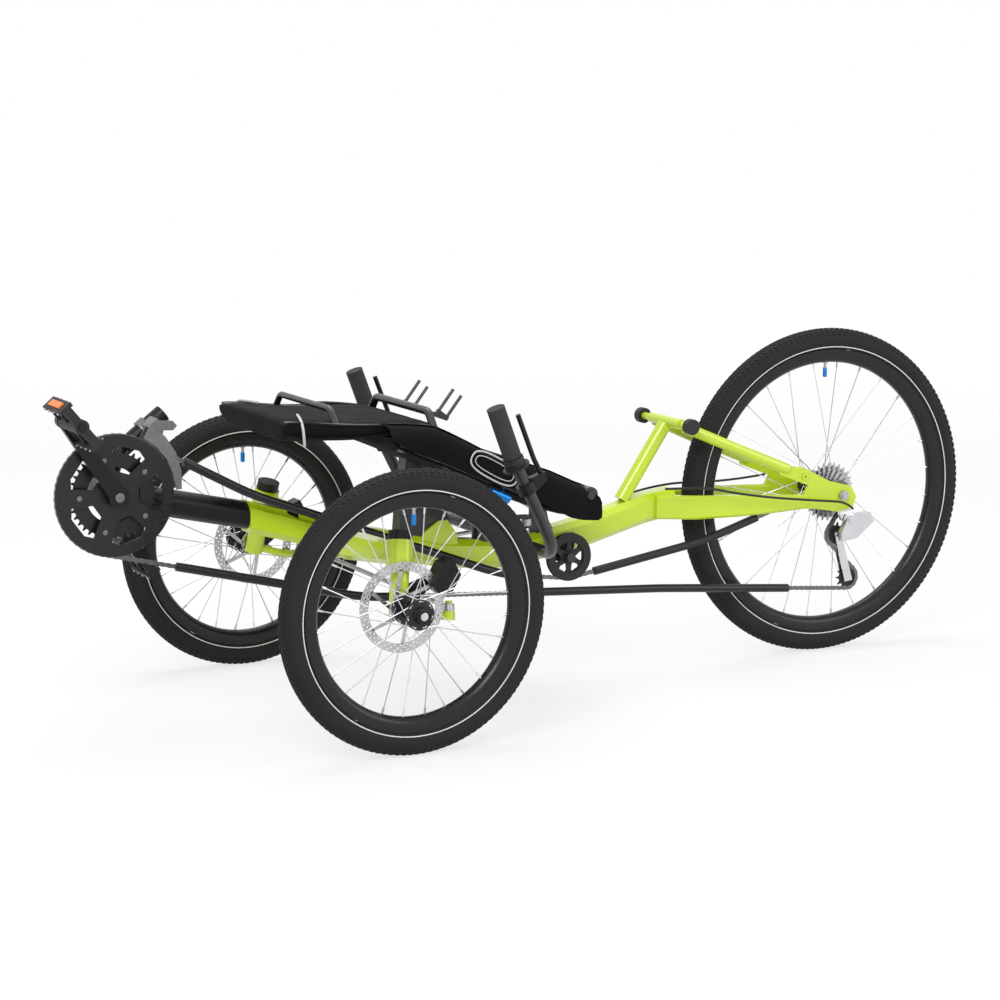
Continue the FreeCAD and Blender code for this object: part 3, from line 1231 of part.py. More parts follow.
save("crank_left", crank(1))
save("crank_right", crank(-1))
save("pedal_left", pedal(1))
save("pedal_right", pedal(-1))
save("idler", idler())
save("idler_mount", idler_mount(body_spine))
bar = handlebar()
save("handlebar", bar)
save("bar_pivot", bar_pivot(body_spine))
save("grips", grips())
save("twist_shifters", twist_shifters(bar))
save("brake_levers", brake_levers(bar))
seat_frame = seat_base_frame()
save("seat_base_frame", seat_frame)
save("seat_posts", seat_posts(body_spine, seat_frame))
adjusters = seat_adjusters(seat_frame)
save("seat_adjusters", adjusters)
save("seat_base_sling", seat_cloth(BASE_PATH, 0, SEAT_RAIL_Y).cut(seat_frame).cut(adjusters))
back_frame = seat_back_frame()
save("seat_back_frame", back_frame)
forks = seat_forks(back_frame)
save("seat_forks", forks)
save("seat_back_sling", seat_cloth(BACK_PATH, 1, BACK_RAIL_Y).cut(back_frame).cut(forks))
save("chain", chain_loop())
save("chain_tubes", Part.makeCompound([guide_tube(*tube) for tube in TUBES]))
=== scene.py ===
"""Dresses the recumbent trike: paint, metal, rubber and mesh finishes, and its small pieces."""

from contextlib import contextmanager
from math import atan2, copysign, cos, exp, hypot, pi, radians, sin, sqrt

import bpy
from bpy.props import FloatProperty, FloatVectorProperty, IntProperty, PointerProperty
from bpy.types import Operator, Panel, PropertyGroup
from mathutils import Matrix, Vector


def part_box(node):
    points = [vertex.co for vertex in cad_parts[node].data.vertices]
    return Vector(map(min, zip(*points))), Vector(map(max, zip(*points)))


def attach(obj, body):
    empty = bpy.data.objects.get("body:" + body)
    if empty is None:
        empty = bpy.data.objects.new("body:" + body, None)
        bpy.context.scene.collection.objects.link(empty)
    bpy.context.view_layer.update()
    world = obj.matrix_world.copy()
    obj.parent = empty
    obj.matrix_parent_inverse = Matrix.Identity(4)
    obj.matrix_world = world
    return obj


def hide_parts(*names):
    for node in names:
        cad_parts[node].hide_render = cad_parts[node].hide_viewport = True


bl_info = {
    "name": "Recumbent trike dresser",
    "version": (1, 0, 0),
    "blender": (4, 5, 0),
    "location": "View3D > Sidebar > Trike",
    "description": "Finishes and small pieces for a recumbent tadpole trike",
    "category": "Object",
}

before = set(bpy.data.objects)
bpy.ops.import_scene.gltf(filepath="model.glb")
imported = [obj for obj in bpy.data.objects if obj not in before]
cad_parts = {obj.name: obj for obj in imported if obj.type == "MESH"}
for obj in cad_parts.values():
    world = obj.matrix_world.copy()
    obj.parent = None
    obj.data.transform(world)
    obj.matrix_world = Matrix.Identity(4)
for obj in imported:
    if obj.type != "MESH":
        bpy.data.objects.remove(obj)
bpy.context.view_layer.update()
MM = 0.001


def corners(node):
    """Low and high corner of a node's box."""
    low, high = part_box(node)
    return Vector(low), Vector(high)


def wheel(side):
    """Middle and outer radius of a wheel, from its tyre's box."""
    low, high = corners("tyre_" + side)
    return (low + high) / 2, (high.z - low.z) / 2


WHEELS = {side: wheel(side) for side in ("left", "right", "rear")}
AXLE_X = WHEELS["left"][0].x


def from_axle(x, y, z):
    """Point of the frame, from millimetres measured from the front axle, on the floor."""
    return AXLE_X + x * MM, y * MM, z * MM


# ---------------- settings
def colour(name, description, value):
    return FloatVectorProperty(name=name, description=description, default=value, size=3,
                               min=0.0, max=1.0, subtype="COLOR")


def length(name, description, value):
    return FloatProperty(name=name, description=description, default=value, min=0.0, unit="LENGTH")


class TrikeFinishSettings(PropertyGroup):
    frame_paint: colour("Frame paint", "Lime paint of the spine, arms, stays and knuckles",
                        (0.50, 0.66, 0.010))
    black_paint: colour("Black paint", "Satin coat of the boom, bar and seat tubes", (0.007, 0.007, 0.008))
    black_alloy: colour("Black alloy", "Anodised rims, cranks and calipers", (0.010, 0.010, 0.011))
    bright_alloy: colour("Bright alloy", "Polished derailleurs and rings", (0.62, 0.63, 0.65))
    tyre_rubber: colour("Tyre rubber", "Rubber of the three tyres", (0.014, 0.014, 0.014))
    seat_fabric: colour("Seat fabric", "Woven cover of the seat", (0.005, 0.0048, 0.0048))
    blue_accent: colour("Blue accent", "Anodised valve caps and clamp barrel", (0.010, 0.20, 0.62))


class TrikeStageSettings(PropertyGroup):
    azimuth: FloatProperty(name="Azimuth", description="Camera's place round the trike, from -Y towards +X",
                           default=radians(152.59), subtype="ANGLE")
    elevation: FloatProperty(name="Elevation", description="Camera's height angle",
                             default=radians(9.65), subtype="ANGLE")
    roll: FloatProperty(name="Roll", description="Camera's turn about its own line of sight",
                        default=radians(0.31), subtype="ANGLE")
    distance: length("Distance", "From the camera to its target", 5.164)
    lens: FloatProperty(name="Lens", description="Focal length on a 36 mm sensor", default=98.47,
                        unit="CAMERA")
    target: FloatVectorProperty(name="Target", description="Point the camera looks at",
                                default=(0.065, 0.0, 0.359), size=3, subtype="TRANSLATION")


# ---------------- modelling helpers
def deselect():
    if bpy.context.mode != "OBJECT":
        bpy.ops.object.mode_set(mode="OBJECT")
    bpy.ops.object.select_all(action="DESELECT")


def select_only(*objects):
    deselect()
    for item in objects:
        item.select_set(True)
    bpy.context.view_layer.objects.active = objects[0]


@contextmanager
def editing(kind="VERT", action=None):
    """Edit mode on points, edges or faces; the action selects or deselects all of them first."""
    bpy.ops.object.mode_set(mode="EDIT")
    bpy.ops.mesh.select_mode(type=kind)
    if action:
        bpy.ops.mesh.select_all(action=action)
    yield
    bpy.ops.object.mode_set(mode="OBJECT")


def pick(piece, kind, test):
    """Selects only the piece's edges or faces that pass the test."""
    select_only(piece)
    with editing(kind, "DESELECT"):
        pass
    for item in piece.data.edges if kind == "EDGE" else piece.data.polygons:
        item.select = test(item)


def started(name):
    """The primitive that was just added, under its own name."""
    piece = bpy.context.object
    piece.name = name
    return piece


def settled(piece):
    """Applies the piece's place, turn and size to its mesh."""
    select_only(piece)
    bpy.ops.object.transform_apply(location=True, rotation=True, scale=True)
    return piece


def smoothed(piece, degrees=35):
    """Settles the piece and smooths its shading below an angle."""
    settled(piece)
    bpy.ops.object.shade_smooth_by_angle(angle=radians(degrees))
    return piece


def outwards(piece):
    """Turns every face of the closed piece outwards."""
    select_only(piece)
    with editing(action="SELECT"):
        bpy.ops.mesh.normals_make_consistent(inside=False)
    return piece


def copied(piece, name, matrix):
    """A copy with its own mesh, carried to a new place."""
    twin = piece.copy()
    twin.data = piece.data.copy()
    twin.name = name
    bpy.context.collection.objects.link(twin)
    twin.data.transform(matrix)
    if matrix.determinant() < 0:
        twin.data.flip_normals()
    return twin


def joined(pieces, name):
    """The pieces as one object with one mesh."""
    select_only(*pieces)
    bpy.ops.object.join()
    return started(name)


def repeated(piece, matrices, name):
    """One mesh of the piece at each of the places; the pattern piece is used up."""
    twins = [copied(piece, name, matrix) for matrix in matrices]
    bpy.data.objects.remove(piece)
    return joined(twins, name)


def placed(piece, matrix):
    """Carries the mesh itself to its place."""
    piece.data.transform(matrix)
    return piece


def along(start, end):
    """Place and turn of a piece that grows along +Z from start towards end."""
    start, end = Vector(start), Vector(end)
    turn = (end - start).to_track_quat("Z", "Y").to_matrix().to_4x4()
    return Matrix.Translation(start) @ turn


def axes(x_axis, y_axis, z_axis, place):
    """Matrix that carries the three unit axes and the origin to these."""
    matrix = Matrix((x_axis, y_axis, z_axis)).transposed().to_4x4()
    matrix.translation = place
    return matrix


def radial(angle):
    """Unit vector in the plane of the wheels and rings."""
    return Vector((cos(angle), 0, sin(angle)))


def finished(piece, body, slot, finish, *replaced):
    """Gives the piece its finish and body, and hides the nodes that it stands for; the slot is not used."""
    piece.data.materials.clear()
    piece.data.materials.append(MATERIALS[finish])
    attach(piece, body)
    if replaced:
        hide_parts(*replaced)
    return piece


def turned(name, profile, steps=48, closed=True):
    """Lathe piece round the Y axis, from points of (radius, y) in metres."""
    deselect()
    bpy.ops.mesh.primitive_plane_add(size=0.001)
    piece = started(name)
    points = [Vector((radius, y, 0)) for radius, y in profile]
    if closed:
        points.append(points[0])
    with editing("VERT", "SELECT"):
        bpy.ops.mesh.merge(type="CENTER")
        bpy.ops.transform.translate(value=points[0])
        for before, after in zip(points, points[1:]):
            bpy.ops.mesh.extrude_region_move(TRANSFORM_OT_translate={"value": after - before})
        bpy.ops.mesh.select_all(action="SELECT")
        bpy.ops.mesh.remove_doubles(threshold=1e-7)
        bpy.ops.mesh.spin(steps=steps, angle=2 * pi, center=(0, 0, 0), axis=(0, 1, 0))
        bpy.ops.mesh.select_all(action="SELECT")
        bpy.ops.mesh.remove_doubles(threshold=1e-6)
        bpy.ops.mesh.normals_make_consistent(inside=False)
    return piece


def cube(middle=(0, 0, 0)):
    """Cube of one metre round the point."""
    deselect()
    bpy.ops.mesh.primitive_cube_add(size=1, location=middle)
    return settled(started("cube"))


def cylinder(name, radius, depth, sides=16, bevel=0.0):
    """Upright cylinder on the origin, from z = 0 to its depth."""
    deselect()
    bpy.ops.mesh.primitive_cylinder_add(vertices=sides, radius=radius, depth=depth,
                                        location=(0, 0, depth / 2))
    piece = started(name)
    if bevel:
        with editing("EDGE", "DESELECT"):
            bpy.ops.mesh.edges_select_sharp(sharpness=radians(80))
            bpy.ops.mesh.bevel(offset=bevel, segments=2)
    return settled(piece)


def strand(name, points, radius, closed=False):
    """Round cord, wire or piping along the points."""
    curve = bpy.data.curves.new(name, "CURVE")
    curve.dimensions = "3D"
    curve.bevel_depth = radius
    curve.bevel_resolution = 2
    curve.use_fill_caps = not closed
    spline = curve.splines.new("NURBS")
    spline.points.add(len(points) - 1)
    for knot, point in zip(spline.points, points):
        knot.co = (*point, 1.0)
    spline.order_u = 3
    spline.use_endpoint_u = not closed
    spline.use_cyclic_u = closed
    spline.resolution_u = 5
    piece = bpy.data.objects.new(name, curve)
    bpy.context.collection.objects.link(piece)
    select_only(piece)
    bpy.ops.object.convert(target="MESH")
    return smoothed(bpy.context.object, 60)


# ---------------- materials
def add_node(tree, kind, inputs=None, **settings):
    """Adds a node, its inputs set or linked, and returns its outputs."""
    made = tree.nodes.new(kind)
    for key, value in settings.items():
        setattr(made, key, value)
    for key, value in (inputs or {}).items():
        if hasattr(value, "is_linked"):
            tree.links.new(value, made.inputs[key])
        else:
            made.inputs[key].default_value = value
    return made.outputs


class Surface:
    """One material on a Principled shader that reads Object coordinates."""

    def __init__(self, name, base, roughness, metallic=0.0, coat=0.0, sheen=0.0, specular=0.5):
        self.material = bpy.data.materials.new(name)
        self.material.use_nodes = True
        self.tree = self.material.node_tree
        self.shader = self.tree.nodes["Principled BSDF"]
        self.base = tuple(base)
        values = {"Base Color": (*base, 1.0), "Roughness": roughness, "Metallic": metallic,
                  "Coat Weight": coat, "Coat Roughness": 0.08, "Sheen Weight": sheen,
                  "Specular IOR Level": specular}
        for socket, value in values.items():
            self.shader.inputs[socket].default_value = value
        self.coordinates = self.node("ShaderNodeTexCoord")["Object"]

    def node(self, kind, inputs=None, **settings):
        return add_node(self.tree, kind, inputs, **settings)

    def noise(self, scale, detail=3.0, stretch=(1, 1, 1)):
        source = self.node("ShaderNodeMapping", {"Vector": self.coordinates, "Scale": stretch})
        return self.node("ShaderNodeTexNoise",
                         {"Vector": source["Vector"], "Scale": scale, "Detail": detail})["Fac"]

    def ranged(self, value, low, high, to_low, to_high, **settings):
        return self.node("ShaderNodeMapRange", {"Value": value, "From Min": low, "From Max": high,
                                                "To Min": to_low, "To Max": to_high}, **settings)["Result"]

    def blended(self, factor, first, second):
        return self.node("ShaderNodeMix", {"Factor": factor, "A": (*first, 1.0), "B": (*second, 1.0)},
                         data_type="RGBA")["Result"]

    def roughened(self, value, roughness, low, high):
        """Roughness that follows the value between two shares of itself."""
        self.set("Roughness", self.ranged(value, 0.3, 0.7, roughness * low, roughness * high))

    def coloured(self, factor, share):
        """Base colour that drifts by a share of itself."""
        darker = [c * (1 - share) for c in self.base]
        lighter = [min(1.0, c * (1 + share)) for c in self.base]
        self.set("Base Color", self.blended(factor, darker, lighter))

    def set(self, socket, value):
        self.tree.links.new(value, self.shader.inputs[socket])

    def bumped(self, height, strength, distance):
        bump = self.node("ShaderNodeBump", {"Height": height, "Strength": strength, "Distance": distance})
        self.set("Normal", bump["Normal"])


def paint(name, base, roughness=0.32, coat=0.7):
    """Sprayed paint with a faint orange peel and a tone that drifts at random."""
    surface = Surface(name, base, roughness, coat=coat)
    surface.coloured(surface.noise(9.0, 4.0), 0.07)
    surface.roughened(surface.noise(34.0), roughness, 0.8, 1.3)
    surface.bumped(surface.noise(900.0, 1.0), 0.10, 0.0004)
    return surface.material


def anodised(name, base, roughness=0.38):
    """Anodised alloy: a half-metallic coat with a fine etched grain."""
    surface = Surface(name, base, roughness, metallic=0.55)
    surface.coloured(surface.noise(60.0, 5.0), 0.18)
    surface.roughened(surface.noise(120.0), roughness, 0.75, 1.25)
    surface.bumped(surface.noise(1400.0, 2.0), 0.12, 0.0003)
    return surface.material


def bare_metal(name, base, roughness=0.28, grain=(1, 1, 1)):
    """Polished or brushed metal, its brushing stretched along the grain."""
    surface = Surface(name, base, roughness, metallic=1.0)
    surface.coloured(surface.noise(45.0, 5.0), 0.16)
    brushed = surface.noise(260.0, 3.0, grain)
    surface.roughened(brushed, roughness, 0.7, 1.5)
    surface.bumped(brushed, 0.16, 0.0003)
    return surface.material


def moulded(name, base, roughness=0.55):
    """Injection-moulded plastic with a fine spark-eroded grain."""
    surface = Surface(name, base, roughness, specular=0.3)
    surface.coloured(surface.noise(25.0, 3.0), 0.12)
    surface.roughened(surface.noise(70.0), roughness, 0.85, 1.15)
    surface.bumped(surface.noise(1700.0, 2.0), 0.25, 0.0003)
    return surface.material


def rubber(name, base, roughness=0.72):
    """Dull rubber with a pitted skin."""
    surface = Surface(name, base, roughness, specular=0.22)
    surface.coloured(surface.noise(18.0, 5.0), 0.22)
    surface.bumped(surface.noise(1100.0, 4.0), 0.35, 0.0004)
    return surface.material


def woven(name, base, thread=0.0011):
    """Spacer mesh: small round holes in rows, with a soft sheen."""
    surface = Surface(name, base, 0.85, sheen=0.02, specular=0.12)
    surface.shader.inputs["Sheen Roughness"].default_value = 0.45
    cells = surface.node("ShaderNodeTexVoronoi", {"Vector": surface.coordinates, "Scale": 1 / (thread * 2.6),
                                                  "Randomness": 0.25})
    holes = surface.ranged(cells["Distance"], 0.12, 0.42, 0.0, 1.0)
    drift = surface.node("ShaderNodeMath", {0: holes, 1: surface.noise(14.0, 4.0)}, operation="MULTIPLY")
    surface.coloured(drift["Value"], 0.45)
    surface.bumped(holes, 0.5, 0.0006)
    return surface.material


MATERIALS = {}


def build_materials(finish):
    MATERIALS.update(
        lime=paint("lime_paint", finish.frame_paint),
        black_paint=paint("black_satin_paint", finish.black_paint, 0.40, 0.35),
        black_alloy=anodised("black_anodised", finish.black_alloy),
        bright=bare_metal("polished_alloy", finish.bright_alloy, 0.24),
        steel=bare_metal("brushed_steel", (0.45, 0.45, 0.46), 0.32, (1, 8, 1)),
        chain=bare_metal("oiled_steel", (0.16, 0.155, 0.15), 0.36),
        ring_black=anodised("ring_black", (0.022, 0.022, 0.024), 0.30),
        tyre=rubber("tyre_rubber", finish.tyre_rubber),
        plastic=moulded("black_plastic", (0.018, 0.018, 0.019)),
        tube_plastic=moulded("guide_tube_plastic", (0.014, 0.014, 0.015), 0.32),
        grip=rubber("grip_rubber", (0.034, 0.034, 0.034), 0.66),
        fabric=woven("seat_mesh", finish.seat_fabric),
        blue=anodised("blue_anodised", finish.blue_accent, 0.25),
        amber=moulded("amber_reflector", (0.80, 0.20, 0.015), 0.25),
        cage=anodised("dark_cage", (0.17, 0.17, 0.18), 0.34),
        piping=woven("piping_cord", (0.010, 0.010, 0.011), 0.0008),
        silver_trim=moulded("silver_trim", (0.55, 0.55, 0.54), 0.38),
        rim=anodised("black_rim", (0.016, 0.016, 0.017), 0.30),
        hub=anodised("black_hub", (0.020, 0.020, 0.022), 0.26),
        spoke=bare_metal("stainless_spoke", (0.62, 0.63, 0.65), 0.20),
        rotor=bare_metal("ground_rotor", (0.52, 0.52, 0.53), 0.30),
        reflex=moulded("pale_reflective_line", (0.72, 0.72, 0.70), 0.45))


def both(*names):
    """The left and the right node of each name."""
    return [name + side for name in names for side in ("_left", "_right")]


# nodes that are carried over, by finish
CARRIED = [
    ("lime", ["spine", "seat_strut"] + both("cross_arm", "chainstay", "seat_stay", "knuckle")),
    ("black_paint", ["seat_base_frame", "seat_back_frame", "seat_posts", "handlebar", "seat_forks",
                     "bar_pivot", "idler_mount"]),
    ("black_alloy", ["boom", "brake_levers"] + both("crank", "caliper", "kingpin_cap")),
    ("ring_black", ["chainrings", "ring_guard"]),
    ("bright", ["rear_derailleur"]),
    ("cage", ["front_derailleur"]),
    ("steel", ["rear_axle", "cassette", "tie_rod", "drag_link"]),
    ("chain", ["chain"]),
    ("plastic", ["idler", "jockey_wheels", "strut_knobs", "twist_shifters"] + both("pedal")),
    ("blue", ["seat_adjusters"]),
    ("tube_plastic", ["chain_tubes"]),
    ("grip", ["grips"]),
]


class TRIKE_OT_finishes(Operator):
    """Builds the materials and gives one to every node that is carried over"""
    bl_idname = "trike.finishes"
    bl_label = "Finishes"

    def execute(self, context):
        build_materials(context.scene.trike_finish)
        for finish, nodes in CARRIED:
            for node in nodes:
                mesh = bpy.data.objects[node].data
                mesh.materials.clear()
                mesh.materials.append(MATERIALS[finish])
        return {"FINISHED"}


# ---------------- wheels
class TrikeWheelSettings(PropertyGroup):
    tyre_width: length("Tyre width", "Across the casing", 0.047)
    tread_height: length("Tread height", "Of the blocks above the casing", 0.0012)
    block_pitch: length("Block pitch", "From tread block to tread block round the tyre", 0.0125)
    line_radius: length("Line width", "Half the width of the pale line on each side wall", 0.0011)
    rim_width: length("Rim width", "Across the rim's hooks", 0.030)
    rim_depth: length("Rim depth", "From the tyre's seat to the rim's inner edge", 0.021)
    spoke_count: IntProperty(name="Spokes", description="Spokes in each wheel", default=28, min=12, max=48)
    spoke_radius: length("Spoke radius", "Of each round spoke", 0.0010)


UP = Vector((0, 0, 1))
LEFT = Vector((0, 1, 0))
OUTWARD = {"left": 1, "right": -1, "rear": 1}
WHEEL_STEPS = 120
# degrees from the tyre's crown to the bead and to the pale line
BEAD_ANGLE = 142
LINE_ANGLE = 124
LINE_FLAT = 0.8  # the line's height as a share of its width
# tread rows: angle from the crown, twist, length along the tyre, width, offset in pitches
TREAD_ROWS = [(-52, -28, 8.0, 5.0, 0.0), (-31, 24, 7.5, 6.5, 0.5), (-11, -14, 9.0, 6.0, 0.0),
              (11, 14, 9.0, 6.0, 0.5), (31, -24, 7.5, 6.5, 0.0), (52, 28, 8.0, 5.0, 0.5)]
BLOCK_TOP = (0.78, 0.82, 1)  # how far each block narrows to its top
# hub shells in mm, outer side first: flange radius, barrel radius, flange places, ends
HUBS = {"left": (27, 12, (24, -26), (36, -28)), "right": (27, 12, (24, -26), (36, -28)),
        "rear": (27, 15, (12, -34), (64, -64))}
HUB_BORE = 6.3
RIM_HOOK = 0.0055
SPOKE_LEAD = 72  # degrees from a spoke's end to its hole in the flange
SPOKE_SKEW = 0.0014  # half the step between crossing spokes
HEAD_BACK = 0.0034  # from a spoke's foot to its head, across the flange
# small turned parts: radius, length, sides
SPOKE_HEAD = (0.0021, 0.0014, 10)
NIPPLE = (0.0019, 0.012, 8)
VALVE_STEM = (0.0030, 0.022, 12)
VALVE_NUT = (0.0052, 0.003, 6)
VALVE_CAP = (0.0043, 0.019, 14)
CAP_DROP = 0.012  # from the valve's foot to its cap


class TRIKE_OT_tyres(Operator):
    """Round casings with rows of tread blocks and a pale line on each side wall"""
    bl_idname = "trike.tyres"
    bl_label = "Tyres"

    def execute(self, context):
        sizes = context.scene.trike_wheels
        casing = sizes.tyre_width / 2 - sizes.tread_height
        for side, (centre, radius) in WHEELS.items():
            body = "wheel_" + side
            crown = radius - sizes.tyre_width / 2
            pieces = [self.casing(centre, crown, casing)]
            pieces += [self.row(centre, crown, casing, sizes, row) for row in TREAD_ROWS]
            tyre = smoothed(joined(pieces, "tyre_with_tread_" + side), 40)
            finished(tyre, body, "tyre", "tyre", "tyre_" + side)
            lines = [self.line(centre, crown, casing, sign, sizes.line_radius) for sign in (-1, 1)]
            line = smoothed(joined(lines, "side_wall_lines_" + side), 80)
            finished(line, body, "tyre", "reflex")
        return {"FINISHED"}

    def casing(self, centre, crown, casing):
        angles = [radians(BEAD_ANGLE) * k / 9 for k in range(-9, 10)]
        profile = [(crown + casing * cos(angle), casing * sin(angle)) for angle in angles]
        return placed(turned("casing", profile, WHEEL_STEPS), Matrix.Translation(centre))

    def line(self, centre, crown, casing, sign, thick):
        """Pale line that lies on one side wall."""
        angle = radians(LINE_ANGLE) * sign
        reach = crown + casing * cos(angle)
        out = casing * sin(angle)
        turns = [radians(45 * k) for k in range(8)]
        ring = [(reach + thick * cos(turn), out + thick * sin(turn) * LINE_FLAT) for turn in turns]
        return placed(turned("line", ring, WHEEL_STEPS), Matrix.Translation(centre))

    def row(self, centre, crown, casing, sizes, row):
        """One row of blocks round the tyre, each narrowed towards its top."""
        lean, twist, along_tyre, across, offset = row
        block = cube()
        pick(block, "FACE", lambda face: face.normal.z > 0.9)
        with editing("FACE"):
            bpy.ops.transform.resize(value=BLOCK_TOP)
        block.scale = (across * MM, along_tyre * MM, sizes.tread_height * 2)
        settled(block)
        lean = radians(lean)
        reach = crown + casing * cos(lean)
        out = casing * sin(lean)
        count = round(2 * pi * reach / sizes.block_pitch)
        places = []
        for i in range(count):
            angle = 2 * pi * (i + offset) / count
            normal = radial(angle) * cos(lean) + LEFT * sin(lean)
            forward = radial(angle + pi / 2)
            place = centre + radial(angle) * reach + LEFT * out
            turn = axes(forward.cross(normal), forward, normal, place)
            places.append(turn @ Matrix.Rotation(radians(twist), 4, "Z"))
        return repeated(block, places, "blocks")


class TRIKE_OT_wheels(Operator):
    """Hooked rims, crossed round spokes with nipples, hub shells and valves"""
    bl_idname = "trike.wheels"
    bl_label = "Rims, spokes and hubs"

    def execute(self, context):
        sizes = context.scene.trike_wheels
        for side, (centre, radius) in WHEELS.items():
            body = "wheel_" + side
            seat = radius - sizes.tyre_width
            inner = seat - sizes.rim_depth
            rim = self.rim("rim_" + side, centre, seat, sizes)
            finished(rim, body, "black_alloy", "rim")
            hub = self.hub("hub_" + side, centre, HUBS[side], OUTWARD[side])
            finished(hub, body, "black_alloy", "hub")
            spokes = self.spokes("spokes_" + side, centre, inner, HUBS[side], OUTWARD[side], sizes)
            finished(spokes, body, "steel", "spoke", "wire_wheel_" + side)
            top = centre + UP * (inner + 0.001)
            down = along(top, top - UP)
            parts = [placed(cylinder("part", *part), down) for part in (VALVE_STEM, VALVE_NUT)]
            valve = smoothed(joined(parts, "valve_stem_" + side))
            finished(valve, body, "steel", "steel")
            low = top - UP * CAP_DROP
            cap = cylinder("valve_cap_" + side, *VALVE_CAP, bevel=0.001)
            placed(cap, along(low, low - UP))
            finished(smoothed(cap), body, "blue_alloy", "blue")
        return {"FINISHED"}

    def rim(self, name, centre, seat, sizes):
        """Box-section rim with hooked edges and a drop centre."""
        half = sizes.rim_width / 2
        depth = sizes.rim_depth
        hook = seat + RIM_HOOK
        outer = [(hook, half), (hook, half - 0.0016), (seat + 0.0008, half - 0.0021),
                 (seat, 0.009), (seat - 0.003, 0.005)]
        wall = [(seat - depth * 0.5, half - 0.0004), (seat - depth * 0.72, half - 0.0025),
                (seat - depth * 0.92, 0.0075), (seat - depth, 0.004)]
        profile = [(r, -y) for r, y in outer] + outer[::-1] + wall + [(r, -y) for r, y in wall[::-1]]
        return smoothed(placed(turned(name, profile, WHEEL_STEPS), Matrix.Translation(centre)), 40)

    def hub(self, name, centre, shape, outward):
        """Barrel with two flanges."""
        flange, barrel, (outer, inner), (outer_end, inner_end) = shape
        profile = [(HUB_BORE, inner_end), (barrel + 1, inner_end), (barrel + 1, inner - 2),
                   (flange - 3, inner - 1.8), (flange, inner - 1), (flange, inner + 1),
                   (flange - 3, inner + 1.8), (barrel + 3, inner + 4), (barrel, inner + 11),
                   (barrel, outer - 11), (barrel + 3, outer - 4), (flange - 3, outer - 1.8),
                   (flange, outer - 1), (flange, outer + 1), (flange - 3, outer + 1.8),
                   (barrel + 3, outer + 3), (barrel + 1, min(outer + 8, outer_end - 2)),
                   (barrel, outer_end), (HUB_BORE, outer_end)]
        profile = [(r * MM, y * MM * outward) for r, y in profile]
        return smoothed(placed(turned(name, profile, 40), Matrix.Translation(centre)), 40)

    def spokes(self, name, centre, inner, shape, outward, sizes):
        """Crossed spokes with their heads in the flanges and nipples at the rim."""
        flange, _, flanges, _ = shape
        hole = (flange - 4) * MM
        tip = inner + 0.001
        bars, heads, nipples = [], [], []
        for i in range(sizes.spoke_count):
            angle = 2 * pi * (i + 0.5) / sizes.spoke_count
            sign = 1 if (i // 2) % 2 else -1
            out = flanges[i % 2] * MM * outward
            foot = centre + radial(angle + radians(SPOKE_LEAD) * sign) * hole
            foot += LEFT * (out + SPOKE_SKEW * sign)
            end = centre + radial(angle) * tip
            bars.append(along(foot, end) @ Matrix.Diagonal((1, 1, (end - foot).length, 1)))
            heads.append(along(foot - LEFT * sign * HEAD_BACK, foot))
            nipples.append(along(end, foot))
        parts = [repeated(cylinder("bar", sizes.spoke_radius, 1.0, 8), bars, "bars"),
                 repeated(cylinder("head", *SPOKE_HEAD), heads, "heads"),
                 repeated(cylinder("nipple", *NIPPLE), nipples, "nipples")]
        return smoothed(joined(parts, name))


# ---------------- rotors
ROTOR_THICK = 0.0019
ROTOR_ARMS = 6
ARM_FOOT, ARM_WIDTH, ARM_SWEEP = 0.021, 0.0065, 0.5
# the braking band: depths in from its edge where its rings of faces meet, and steps round it
BAND_EDGES = [0.0160, 0.0144, 0.0114, 0.0096, 0.0066, 0.0048, 0.0018, 0.0]
BAND_STEPS = 144
# rings of faces with openings, and the step at which each ring's openings start
BAND_OPENINGS = {1: 0, 3: 2, 5: 0}
OPENING_PITCH = 4
# carrier that the arms grow from: radius, height
CARRIER = [(0.0075, 0), (0.0235, 0), (0.0235, ROTOR_THICK), (0.0205, 0.0035), (0.0075, 0.0035)]
ROTOR_BOLT = (0.0042, 0.0022, 12, 0.0005)
BOLT_CIRCLE = 0.0185


